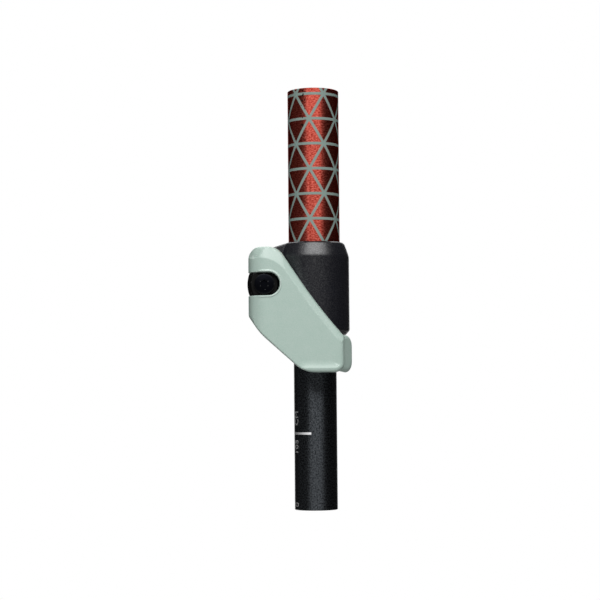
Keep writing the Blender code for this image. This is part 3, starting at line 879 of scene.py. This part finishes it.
def make_screw():
    """Low-headed screw with a key socket and a cut thread; its heights run towards -Y."""
    top = -screw_low.y
    seat = top - HEAD_HEIGHT
    tail = -screw_high.y
    head = []
    steps = 12
    for k in range(steps + 1):
        t = k / steps
        head.append(((HEAD_RADIUS - HEAD_EDGE) * t, top - HEAD_DOME * t ** 2))
    rim = top - HEAD_DOME - HEAD_EDGE
    rows = head + [(HEAD_RADIUS, rim), (HEAD_RADIUS, seat + HEAD_UNDER), (HEAD_RADIUS - HEAD_UNDER, seat)]
    thread_top = seat - SHANK_LENGTH
    rows += [(SCREW_RADIUS, seat), (SCREW_RADIUS, thread_top)]
    step = THREAD_PITCH / THREAD_STEPS
    count = int((thread_top - tail) / step)
    for k in range(1, count + 1):
        height = thread_top - (thread_top - tail) * k / count
        point = SCREW_RADIUS - TIP_CHAMFER + (height - tail)
        entry = min(1.0, k * step / THREAD_PITCH)

        def groove(angle, height=height, point=point, entry=entry):
            """Radius of the thread at an angle."""
            phase = (height / THREAD_PITCH - angle / (2 * math.pi)) % 1.0
            return min(point, SCREW_RADIUS - entry * THREAD_DEPTH * abs(2 * phase - 1))

        rows.append((groove, height))
    rows.append((0.0, tail))
    screw = turned("tension_screw_cut", rows, 72, (DRUM.x, 0.0, DRUM.z), "-Y")
    over = 2.0
    cut(screw, prism("key", hexagon(SOCKET_FLATS), -top - over, -top + SOCKET_DEEP, "Y"))
    return screw


def make_nut():
    """Hexagon nut with its corners turned off and a threaded hole's lead-in."""
    nut = prism("tension_nut_cut", hexagon(NUT_FLATS), nut_low.y, nut_high.y, "Y")
    middle = (nut_low.y + nut_high.y) / 2
    half = nut_high.y - middle
    flat = NUT_FLATS / 2
    rows = mirrored([(0.0, half), (flat, half), (flat + NUT_TURNED, half - NUT_FALL)])
    cut(nut, turned("turned_corners", rows, 96, (DRUM.x, middle, DRUM.z), "-Y"), "INTERSECT")
    hole = SCREW_RADIUS + SCREW_GAP
    outer = half + NUT_LEAD_DEEP
    rows = mirrored([(0.0, outer), (hole + NUT_LEAD, outer), (hole, half - NUT_LEAD_DEEP)])
    cut(nut, turned("nut_hole", rows, 64, (DRUM.x, middle, DRUM.z), "-Y"))
    bevel(nut, NUT_EDGE)
    return nut


# Printed scale
def wrap(mesh, base, height):
    """Wrap flat lettering on the lower tube: it reads upwards, with its tops towards -X."""
    for vertex in mesh.vertices:
        along, up, proud = vertex.co
        angle = math.radians(base) - up / LOWER_RADIUS
        reach = LOWER_RADIUS + proud
        vertex.co = (reach * math.sin(angle), -reach * math.cos(angle), height + along * SCALE_STRETCH)


def slice_at(work, point, normal, **extra):
    """Slice a bmesh along a plane."""
    parts = work.verts[:] + work.edges[:] + work.faces[:]
    bmesh.ops.bisect_plane(work, geom=parts, plane_co=point, plane_no=normal, **extra)


def printed_word(name, text, height):
    """Lettering as a thin closed mesh, sliced so that it follows the tube."""
    curve = bpy.data.curves.new(name, "FONT")
    curve.body = text
    curve.size = SCALE_CAP / CAP_SHARE
    curve.extrude = PRINT_PROUD
    curve.space_character = SCALE_SPACING
    sketch = link(name, curve)
    graph = bpy.context.evaluated_depsgraph_get()
    mesh = bpy.data.meshes.new_from_object(sketch.evaluated_get(graph))
    bpy.data.objects.remove(sketch)
    work = bmesh.new()
    work.from_mesh(mesh)
    bmesh.ops.remove_doubles(work, verts=work.verts, dist=0.0001)
    slices = 14
    for k in range(1, slices):
        slice_at(work, (0, SCALE_CAP * k / slices, 0), (0, 1, 0))
    below = (lower_low.z + TUBE_EDGE - height) / SCALE_STRETCH
    if below > 0:
        slice_at(work, (below, 0, 0), (1, 0, 0), clear_inner=True)
        bmesh.ops.holes_fill(work, edges=[edge for edge in work.edges if edge.is_boundary])
    work.to_mesh(mesh)
    work.free()
    wrap(mesh, SCALE_BASE, height)
    return link(name, mesh)


def make_tick():
    """Printed line of the scale, from behind the tube's edge to its front."""
    steps = 48
    rings = []
    for k in range(steps + 1):
        angle = math.radians(TICK_FROM + (TICK_TO - TICK_FROM) * k / steps)
        ring = []
        for reach, height in ((-1, -1), (1, -1), (1, 1), (-1, 1)):
            radius = LOWER_RADIUS + reach * PRINT_PROUD
            ring.append((
                radius * math.sin(angle),
                -radius * math.cos(angle),
                TICK_Z + height * TICK_HEIGHT / 2,
            ))
        rings.append(ring)
    return loft("scale_tick", rings)


# Shader helpers
def add(tree, kind, inputs=None, **settings):
    """Add a node; inputs are plain values or sockets to link."""
    made = tree.nodes.new(kind)
    for name, value in settings.items():
        setattr(made, name, value)
    for name, value in (inputs or {}).items():
        socket = made.inputs[name]
        if isinstance(value, bpy.types.NodeSocket):
            tree.links.new(value, socket)
        else:
            socket.default_value = value
    return made


def maths(tree, operation, *values, clamp=False):
    """Output of a Math node."""
    inputs = dict(enumerate(values))
    return add(tree, "ShaderNodeMath", inputs, operation=operation, use_clamp=clamp).outputs[0]


def remap(tree, value, low, high, to_low, to_high, smooth=False):
    """Output of a Map Range node."""
    kind = "SMOOTHSTEP" if smooth else "LINEAR"
    inputs = {"Value": value, "From Min": low, "From Max": high, "To Min": to_low, "To Max": to_high}
    return add(tree, "ShaderNodeMapRange", inputs, interpolation_type=kind).outputs[0]


def mixed(tree, factor, first, second):
    """Output of a colour Mix node."""
    return add(tree, "ShaderNodeMix", {0: factor, 6: first, 7: second}, data_type="RGBA").outputs[2]


def place(tree):
    """Position in millimetres, as a vector."""
    coords = add(tree, "ShaderNodeTexCoord").outputs["Object"]
    return add(tree, "ShaderNodeVectorMath", {0: coords, "Scale": 1 / MM}, operation="SCALE").outputs[0]


def axes(tree):
    """Position in millimetres, as X, Y and Z outputs."""
    return add(tree, "ShaderNodeSeparateXYZ", {0: place(tree)}).outputs


def round_pole(tree, point):
    """Angle round the pole in radians, from the front towards +X."""
    front = maths(tree, "MULTIPLY", point["Y"], -1.0)
    return maths(tree, "ARCTAN2", point["X"], front)


def noise(tree, vector, scale, detail=2.0, rough=0.5):
    """Value of a Noise texture."""
    inputs = {"Vector": vector, "Scale": scale, "Detail": detail, "Roughness": rough}
    return add(tree, "ShaderNodeTexNoise", inputs).outputs["Fac"]


def new_group(name, inputs, outputs):
    """Shader node group with float sockets: inputs as (name, default), outputs as names."""
    tree = bpy.data.node_groups.new(name, "ShaderNodeTree")
    for label, default in inputs:
        socket = tree.interface.new_socket(label, in_out="INPUT", socket_type="NodeSocketFloat")
        socket.default_value = default
    for label in outputs:
        tree.interface.new_socket(label, in_out="OUTPUT", socket_type="NodeSocketFloat")
    return tree, add(tree, "NodeGroupInput").outputs, add(tree, "NodeGroupOutput")


def use_group(tree, group, inputs):
    """Place a group in a tree with its own values; returns its outputs."""
    made = tree.nodes.new("ShaderNodeGroup")
    made.node_tree = group
    for name, value in inputs.items():
        made.inputs[name].default_value = value
    return made.outputs


def give(tree, output, **sockets):
    """Link sockets to a group's outputs."""
    for name, socket in sockets.items():
        tree.links.new(socket, output.inputs[name])


def moulded_grain_group():
    """Spark-eroded grain of a moulded surface, with slow patches of tone."""
    tree, inputs, output = new_group("moulded_grain", [("Grain", 4.0), ("Patch", 0.15)], ["Height", "Tone"])
    point = place(tree)
    fine = noise(tree, point, inputs["Grain"], 3.0, 0.6)
    patch = noise(tree, point, inputs["Patch"], 2.0, 0.5)
    give(tree, output, Height=fine, Tone=patch)
    return tree


def metal_fleck_group():
    """Flecks of a blasted or brushed metal: cells that are stretched round the pole."""
    tree, inputs, output = new_group("metal_flecks", [("Fine", 3.0), ("Stretch", 1.0)], ["Fleck", "Height"])
    point = axes(tree)
    around = maths(tree, "MULTIPLY", round_pole(tree, point), UPPER_RADIUS)
    across = maths(tree, "DIVIDE", around, inputs["Stretch"])
    flat = add(tree, "ShaderNodeCombineXYZ", {"X": across, "Y": point["Z"]}).outputs[0]
    fine = noise(tree, flat, inputs["Fine"], 2.0, 0.7)
    give(tree, output, Fleck=remap(tree, fine, 0.38, 0.62, 0.0, 1.0), Height=fine)
    return tree


def edge_wear_and_sheen_group():
    """Mask of the outer edges, broken up a little, for rubbed wear and painted edge highlights."""
    tree, inputs, output = new_group("edge_wear_and_sheen", [("From", 0.52), ("To", 0.6)], ["Edge"])
    point = add(tree, "ShaderNodeNewGeometry").outputs["Pointiness"]
    rough = noise(tree, place(tree), 1.5, 3.0, 0.6)
    edge = remap(tree, point, inputs["From"], inputs["To"], 0.0, 1.0, smooth=True)
    broken = remap(tree, rough, 0.25, 0.65, 0.6, 1.0)
    give(tree, output, Edge=maths(tree, "MULTIPLY", edge, broken))
    return tree


def speck_group():
    """Mask of sparse small specks: dots in some of the cells of a Voronoi texture."""
    dots = [("Spacing", 1.0), ("Size", 0.1), ("Share", 0.3)]
    tree, inputs, output = new_group("bright_specks", dots, ["Speck"])
    cells = add(tree, "ShaderNodeTexVoronoi", {"Vector": place(tree), "Scale": inputs["Spacing"]}).outputs
    dot = maths(tree, "LESS_THAN", cells["Distance"], inputs["Size"])
    pick = add(tree, "ShaderNodeSeparateColor", {0: cells["Color"]}).outputs[0]
    chosen = maths(tree, "LESS_THAN", pick, inputs["Share"])
    give(tree, output, Speck=maths(tree, "MULTIPLY", dot, chosen))
    return tree


GRAIN = moulded_grain_group()
FLECKS = metal_fleck_group()
# Edge mask: rubbed wear on some pieces, a painted highlight along the edges of the mint lever and the
# blackened steel.
EDGE_WEAR_AND_SHEEN = edge_wear_and_sheen_group()
SPECKS = speck_group()


def new_material(name, roughness, metallic=0.0):
    """Material with its Principled shader; returns material, node tree and shader."""
    mat = bpy.data.materials.new(name)
    mat.use_nodes = True
    tree = mat.node_tree
    shader = tree.nodes["Principled BSDF"]
    shader.inputs["Roughness"].default_value = roughness
    shader.inputs["Metallic"].default_value = metallic
    return mat, tree, shader


def bump(tree, shader, height, strength, distance):
    """Bump a shader's surface by a height; the distance is in millimetres."""
    made = add(tree, "ShaderNodeBump", {"Height": height, "Strength": strength, "Distance": distance * MM})
    tree.links.new(made.outputs[0], shader.inputs["Normal"])


def paint(tree, shader, **sockets):
    """Link sockets to the shader; underscores in a name stand for spaces."""
    for name, socket in sockets.items():
        tree.links.new(socket, shader.inputs[name.replace("_", " ")])


def brush_round(tree, shader, amount):
    """Stretch a metal's highlight along the pole, as brushing round the tube does."""
    tangent = add(tree, "ShaderNodeTangent", direction_type="RADIAL", axis="Z")
    tree.links.new(tangent.outputs[0], shader.inputs["Tangent"])
    shader.inputs["Anisotropic"].default_value = amount
    shader.inputs["Anisotropic Rotation"].default_value = 0.25


def lattice_mask(tree):
    """Mask of the printed triangle lattice and the seam at the back of the tube."""
    point = axes(tree)
    angle = round_pole(tree, point)
    pitch = math.radians(LATTICE_PITCH)
    across = maths(tree, "DIVIDE", maths(tree, "SUBTRACT", angle, math.radians(LATTICE_TURN)), pitch)
    up = maths(tree, "DIVIDE", maths(tree, "SUBTRACT", point["Z"], LATTICE_ROW_Z), LATTICE_ROW)
    half_up = maths(tree, "MULTIPLY", up, 0.5)
    slope = math.hypot(1 / (pitch * UPPER_RADIUS), 0.5 / LATTICE_ROW)
    runs = [
        (up, LATTICE_ROW),
        (maths(tree, "ADD", across, half_up), 1 / slope),
        (maths(tree, "SUBTRACT", across, half_up), 1 / slope),
    ]
    nearest = None
    for value, length in runs:
        away = maths(tree, "MULTIPLY", maths(tree, "PINGPONG", value, 0.5), length)
        nearest = away if nearest is None else maths(tree, "MINIMUM", nearest, away)
    from_back = maths(tree, "SUBTRACT", math.pi, maths(tree, "ABSOLUTE", angle))
    seam = maths(tree, "MULTIPLY", from_back, UPPER_RADIUS * LATTICE_LINE / LATTICE_SEAM)
    nearest = maths(tree, "MINIMUM", nearest, seam)
    ragged = remap(tree, noise(tree, place(tree), 6.0, 2.0), 0.3, 0.7, -LATTICE_RAGGED, LATTICE_RAGGED)
    nearest = maths(tree, "ADD", nearest, ragged)
    half = LATTICE_LINE / 2
    return remap(tree, nearest, half + LATTICE_SOFT, half - LATTICE_SOFT, 0.0, 1.0)


def scuff_mask(tree):
    """Mask of a few dark scuffs in a narrow run down from the upper tube's end."""
    point = axes(tree)
    from_run = maths(tree, "ABSOLUTE", maths(tree, "SUBTRACT", point["X"], SCUFF_X))
    beside = remap(tree, from_run, SCUFF_CORE, SCUFF_WIDTH, 1.0, 0.0)
    below = remap(tree, point["Z"], upper_high.z - SCUFF_RUN, upper_high.z - SCUFF_FULL, 0.0, 1.0)
    front = maths(tree, "LESS_THAN", point["Y"], 0.0)
    specks = use_group(tree, SPECKS, {"Spacing": 1.3, "Size": 0.42, "Share": 0.6})
    where = maths(tree, "MULTIPLY", maths(tree, "MULTIPLY", beside, below), front)
    return maths(tree, "MULTIPLY", where, specks["Speck"])


def red_anodised():
    """Red anodised aluminium, brushed round the tube, under a grey-green printed lattice."""
    mat, tree, shader = new_material("red_anodised_printed", 0.4)
    flecks = use_group(tree, FLECKS, {"Fine": 2.9, "Stretch": 2.4})
    grain = use_group(tree, GRAIN, {"Grain": 5.0, "Patch": 0.1})
    ink = lattice_mask(tree)
    metal = mixed(tree, flecks["Fleck"], (0.27, 0.016, 0.009, 1), (0.575, 0.126, 0.092, 1))
    print_tone = mixed(tree, grain["Tone"], (0.195, 0.268, 0.246, 1), (0.22, 0.3, 0.272, 1))
    finish = mixed(tree, ink, metal, print_tone)
    paint(
        tree, shader,
        Base_Color=mixed(tree, scuff_mask(tree), finish, (0.03, 0.014, 0.01, 1)),
        Metallic=remap(tree, ink, 0.0, 1.0, 1.0, 0.0),
        Roughness=maths(tree, "MAXIMUM", remap(tree, flecks["Fleck"], 0, 1, 0.33, 0.46),
                        maths(tree, "MULTIPLY", ink, 0.6)),
    )
    shader.inputs["Specular Tint"].default_value = (0.7, 0.2, 0.15, 1)
    brush_round(tree, shader, 0.75)
    height = maths(tree, "ADD", maths(tree, "MULTIPLY", flecks["Height"], 0.4), ink)
    bump(tree, shader, height, 0.25, 0.03)
    return mat


def black_anodised():
    """Satin black anodised aluminium with a sparkling blasted grain."""
    mat, tree, shader = new_material("black_anodised_satin", 0.4, 1.0)
    flecks = use_group(tree, FLECKS, {"Fine": 1.7, "Stretch": 1.0})
    wear_and_sheen = use_group(tree, EDGE_WEAR_AND_SHEEN, {"From": 0.6, "To": 0.7})
    metal = mixed(tree, flecks["Fleck"], (0.013, 0.0148, 0.017, 1), (0.12, 0.131, 0.143, 1))
    paint(
        tree, shader,
        Base_Color=mixed(tree, wear_and_sheen["Edge"], metal, (0.2, 0.2, 0.2, 1)),
        Roughness=remap(tree, flecks["Fleck"], 0, 1, 0.42, 0.32),
    )
    brush_round(tree, shader, 0.8)
    bump(tree, shader, flecks["Height"], 0.6, 0.08)
    return mat


def moulded_black():
    """Black glass-filled nylon with a fine eroded grain and paler edges."""
    mat, tree, shader = new_material("moulded_black_grain", 0.4)
    grain = use_group(tree, GRAIN, {"Grain": 2.8, "Patch": 0.12})
    wear_and_sheen = use_group(tree, EDGE_WEAR_AND_SHEEN, {"From": 0.53, "To": 0.64})
    tone = mixed(tree, grain["Tone"], (0.004, 0.0042, 0.0065, 1), (0.007, 0.0073, 0.011, 1))
    paint(
        tree, shader,
        Base_Color=mixed(tree, wear_and_sheen["Edge"], tone, (0.02, 0.02, 0.022, 1)),
        Roughness=remap(tree, grain["Height"], 0.35, 0.65, 0.29, 0.44),
        Coat_Weight=remap(tree, grain["Height"], 0.47, 0.58, 0.0, 1.0),
    )
    shader.inputs["Coat Roughness"].default_value = 0.42
    bump(tree, shader, grain["Height"], 0.9, 0.06)
    return mat


def moulded_mint():
    """Pale mint moulded plastic with a soft grain and a painted highlight along its edges."""
    mat, tree, shader = new_material("moulded_mint_grain", 0.5)
    grain = use_group(tree, GRAIN, {"Grain": 2.6, "Patch": 0.3})
    wear_and_sheen = use_group(tree, EDGE_WEAR_AND_SHEEN, {"From": 0.512, "To": 0.56})
    fine = remap(tree, grain["Height"], 0.3, 0.7, 0.0, 0.6)
    cloud = maths(tree, "MULTIPLY", grain["Tone"], 0.4)
    shade = maths(tree, "ADD", fine, cloud)
    tone = mixed(tree, shade, (0.35, 0.484, 0.42, 1), (0.47, 0.566, 0.518, 1))
    paint(
        tree, shader,
        # paler edge colour: a painted highlight along the lever's edges
        Base_Color=mixed(tree, wear_and_sheen["Edge"], tone, (0.56, 0.635, 0.59, 1)),
        Roughness=remap(tree, grain["Height"], 0.3, 0.7, 0.35, 0.46),
    )
    shader.inputs["Specular IOR Level"].default_value = 0.65
    bump(tree, shader, grain["Height"], 0.5, 0.05)
    return mat


def steel(name, dark, bright, worn_and_sheen, rough_low, rough_high):
    """Steel with a fine machined grain of two tones, paler edges and a little dust."""
    mat, tree, shader = new_material(name, rough_low, 1.0)
    grain = use_group(tree, GRAIN, {"Grain": 6.0, "Patch": 0.5})
    wear_and_sheen = use_group(tree, EDGE_WEAR_AND_SHEEN, {"From": 0.53, "To": 0.62})
    specks = use_group(tree, SPECKS, {"Spacing": 0.7, "Size": 0.11, "Share": 0.25})
    tone = mixed(tree, grain["Tone"], dark, bright)
    # Paler edges: rubbed wear, and on the blackened steel a painted highlight.
    tone = mixed(tree, wear_and_sheen["Edge"], tone, worn_and_sheen)
    paint(
        tree, shader,
        Base_Color=mixed(tree, specks["Speck"], tone, (0.5, 0.5, 0.5, 1)),
        Roughness=remap(tree, grain["Height"], 0.3, 0.7, rough_low, rough_high),
    )
    bump(tree, shader, grain["Height"], 0.15, 0.03)
    return mat


def grey_nylon():
    """Plain grey nylon of the inner fittings."""
    mat, tree, shader = new_material("grey_nylon_plain", 0.5)
    grain = use_group(tree, GRAIN, {"Grain": 3.0, "Patch": 0.2})
    paint(
        tree, shader,
        Base_Color=mixed(tree, grain["Tone"], (0.17, 0.17, 0.168, 1), (0.23, 0.23, 0.226, 1)),
        Roughness=remap(tree, grain["Height"], 0.3, 0.7, 0.45, 0.6),
    )
    bump(tree, shader, grain["Height"], 0.2, 0.05)
    return mat


def scale_ink():
    """White printing ink, a little thin in places, and darkened by painted shade towards the tube's left
    side.
    """
    mat, tree, shader = new_material("scale_ink", 0.5)
    grain = use_group(tree, GRAIN, {"Grain": 5.0, "Patch": 2.5})
    # Painted shade: the print darkens towards -X, round the tube's left side.
    unshaded_towards_front = remap(tree, axes(tree)["X"], -0.85 * LOWER_RADIUS, -0.3 * LOWER_RADIUS, 0.0, 1.0)
    thin = remap(tree, grain["Height"], 0.3, 0.6, 0.75, 1.0)
    cover_and_shade = maths(tree, "MULTIPLY", unshaded_towards_front, thin)
    paint(
        tree, shader,
        Base_Color=mixed(tree, cover_and_shade, (0.3, 0.3, 0.3, 1), (0.95, 0.95, 0.96, 1)),
        Roughness=remap(tree, grain["Tone"], 0.3, 0.7, 0.4, 0.55),
    )
    return mat


# Stage, lamps and camera
def backdrop_material():
    """White to the camera and in reflections, and plain pale paint to other light."""
    mat, tree, shader = new_material("backdrop_paper", 0.9)
    shader.inputs["Base Color"].default_value = (0.8, 0.8, 0.8, 1)
    path = add(tree, "ShaderNodeLightPath").outputs
    seen = maths(tree, "ADD", path["Is Camera Ray"], path["Is Glossy Ray"])
    seen = maths(tree, "ADD", seen, path["Is Transmission Ray"], clamp=True)
    glow = add(tree, "ShaderNodeEmission", {"Color": (1, 1, 1, 1), "Strength": 1.0})
    blend = add(tree, "ShaderNodeMixShader", {0: seen, 1: shader.outputs[0], 2: glow.outputs[0]})
    tree.links.new(blend.outputs[0], tree.nodes["Material Output"].inputs["Surface"])
    return mat


def stage_plane(name, points, mat):
    """Flat face of the stage through its corners."""
    mesh = bpy.data.meshes.new(name)
    mesh.from_pydata(points, [], [range(len(points))])
    mesh.materials.append(mat)
    obj = link(name, mesh)


def make_stage():
    """Pale round floor, and a backdrop behind the part, in metres."""
    floor_z = -0.9
    reach = 2.0
    sides = 96
    floor_mat, _, shader = new_material("pale_floor", 0.8)
    shader.inputs["Base Color"].default_value = (0.65, 0.65, 0.65, 1)
    turns = [2 * math.pi * k / sides for k in range(sides)]
    stage_plane("floor", [(reach * math.cos(a), reach * math.sin(a), floor_z) for a in turns], floor_mat)
    back_y = 1.5
    half = 0.55
    top = 0.75
    back = [(-half, back_y, floor_z), (half, back_y, floor_z), (half, back_y, top), (-half, back_y, top)]
    stage_plane("backdrop", back, backdrop_material())


def softbox(name, azimuth, elevation, distance, width, height, power):
    """Area lamp aimed at the lock, in degrees, metres and watts; azimuth 0 is in front of the lever."""
    lamp = bpy.data.lights.new(name, "AREA")
    lamp.shape = "RECTANGLE"
    lamp.size = width
    lamp.size_y = height
    lamp.energy = power
    obj = link(name, lamp)
    turn, lift = math.radians(azimuth), math.radians(elevation)
    aim = Vector((0.0, 0.0, LAMP_AIM_Z * MM))
    out = Vector((math.sin(turn) * math.cos(lift), -math.cos(turn) * math.cos(lift), math.sin(lift)))
    obj.location = aim + out * distance
    obj.rotation_euler = out.to_track_quat("Z", "Y").to_euler()
    obj.visible_camera = False


def make_light():
    """Four soft lamps and a dim room."""
    softbox("key", azimuth=1.0, elevation=45.0, distance=1.0, width=1.1, height=0.45, power=13.3)
    softbox("low", azimuth=4.0, elevation=-32.0, distance=1.0, width=1.6, height=0.4, power=2.0)
    softbox("fill", azimuth=-75.0, elevation=10.0, distance=1.0, width=1.7, height=1.2, power=0.42)
    softbox("rear", azimuth=180.0, elevation=55.0, distance=1.2, width=1.2, height=0.5, power=8.0)
    world = bpy.data.worlds.new("room")
    world.use_nodes = True
    world.node_tree.nodes["Background"].inputs["Color"].default_value = (0.03, 0.03, 0.03, 1)
    bpy.context.scene.world = world


def make_camera():
    """Camera at the photograph's viewing angle."""
    data = bpy.data.cameras.new("camera")
    data.lens = CAMERA_LENS
    data.sensor_width = 36.0
    camera = link("camera", data)
    camera.location = Vector(CAMERA_PLACE) * MM
    upright = Matrix.Rotation(math.radians(90 + CAMERA_TILT), 3, "X").to_quaternion()
    camera.rotation_euler = (upright @ Quaternion((0, 0, 1), math.radians(CAMERA_ROLL))).to_euler()
    bpy.context.scene.camera = camera


def make_pieces():
    """Make, dress and hang every piece on its body."""
    red = red_anodised()
    black = black_anodised()
    # The blackened steel's paler edge colour is a painted highlight: the bright ring round the screw head.
    dark_steel = steel("blackened_steel_oxide", (0.0035, 0.004, 0.006, 1), (0.007, 0.0075, 0.01, 1),
                       (0.11, 0.11, 0.115, 1), 0.45, 0.58)
    # The drum's steel is a lighter copy of the blackened steel: painted light for the lit strip down its
    # left side.
    painted_lit_drum_steel = steel("blackened_steel_barrel_painted_lit", (0.012, 0.012, 0.012, 1), (0.018, 0.018, 0.0175, 1),
                       (0.11, 0.11, 0.115, 1), 0.45, 0.58)
    bright_steel = steel("bright_steel_ground", (0.48, 0.48, 0.47, 1), (0.6, 0.6, 0.59, 1),
                         (0.72, 0.72, 0.71, 1), 0.25, 0.4)
    nylon = grey_nylon()
    ink = scale_ink()
    upper = tube_wall("upper_tube_wall", UPPER_RADIUS, upper_high.z, upper_low.z)
    dress(upper, "upper_section", "upper_tube", red)
    lower = tube_wall("lower_tube_wall", LOWER_RADIUS, lower_high.z, lower_low.z)
    dress(lower, "lower_section", "lower_tube", black)
    dress(make_collar(), "upper_section", "clamp_collar", moulded_black())
    dress(make_cam_plate(), "upper_section", "cam_plate", bright_steel)
    dress(make_lever(), "lever", "lever", moulded_mint(), 60.0)
    dress(make_drum(), "tension_drum", "pivot_drum", painted_lit_drum_steel)
    for node in ("upper_pivot_pin", "lower_pivot_pin"):
        dress(make_pin(f"{node}_ground", node), "tension_drum", node, bright_steel)
    dress(make_screw(), "tension_screw", "tension_screw", dark_steel)
    dress(make_nut(), "tension_nut", "tension_nut", bright_steel)
    dress(make_end_plug(), "lower_section", "end_plug", nylon)
    dress(make_guide_bush(), "guide_bush", "guide_bush", nylon)
    dress(make_tick(), "lower_section", None, ink)
    words = (
        ("scale_unit", "CM", UNIT_Z),
        ("scale_number", "105", NUMBER_Z),
        ("scale_next_number", "110", NEXT_NUMBER_Z),
    )
    for name, text, height in words:
        dress(printed_word(name, text, height), "lower_section", None, ink)


make_stage()
make_light()
make_camera()
make_pieces()
bpy.context.scene.view_settings.view_transform = "Standard"
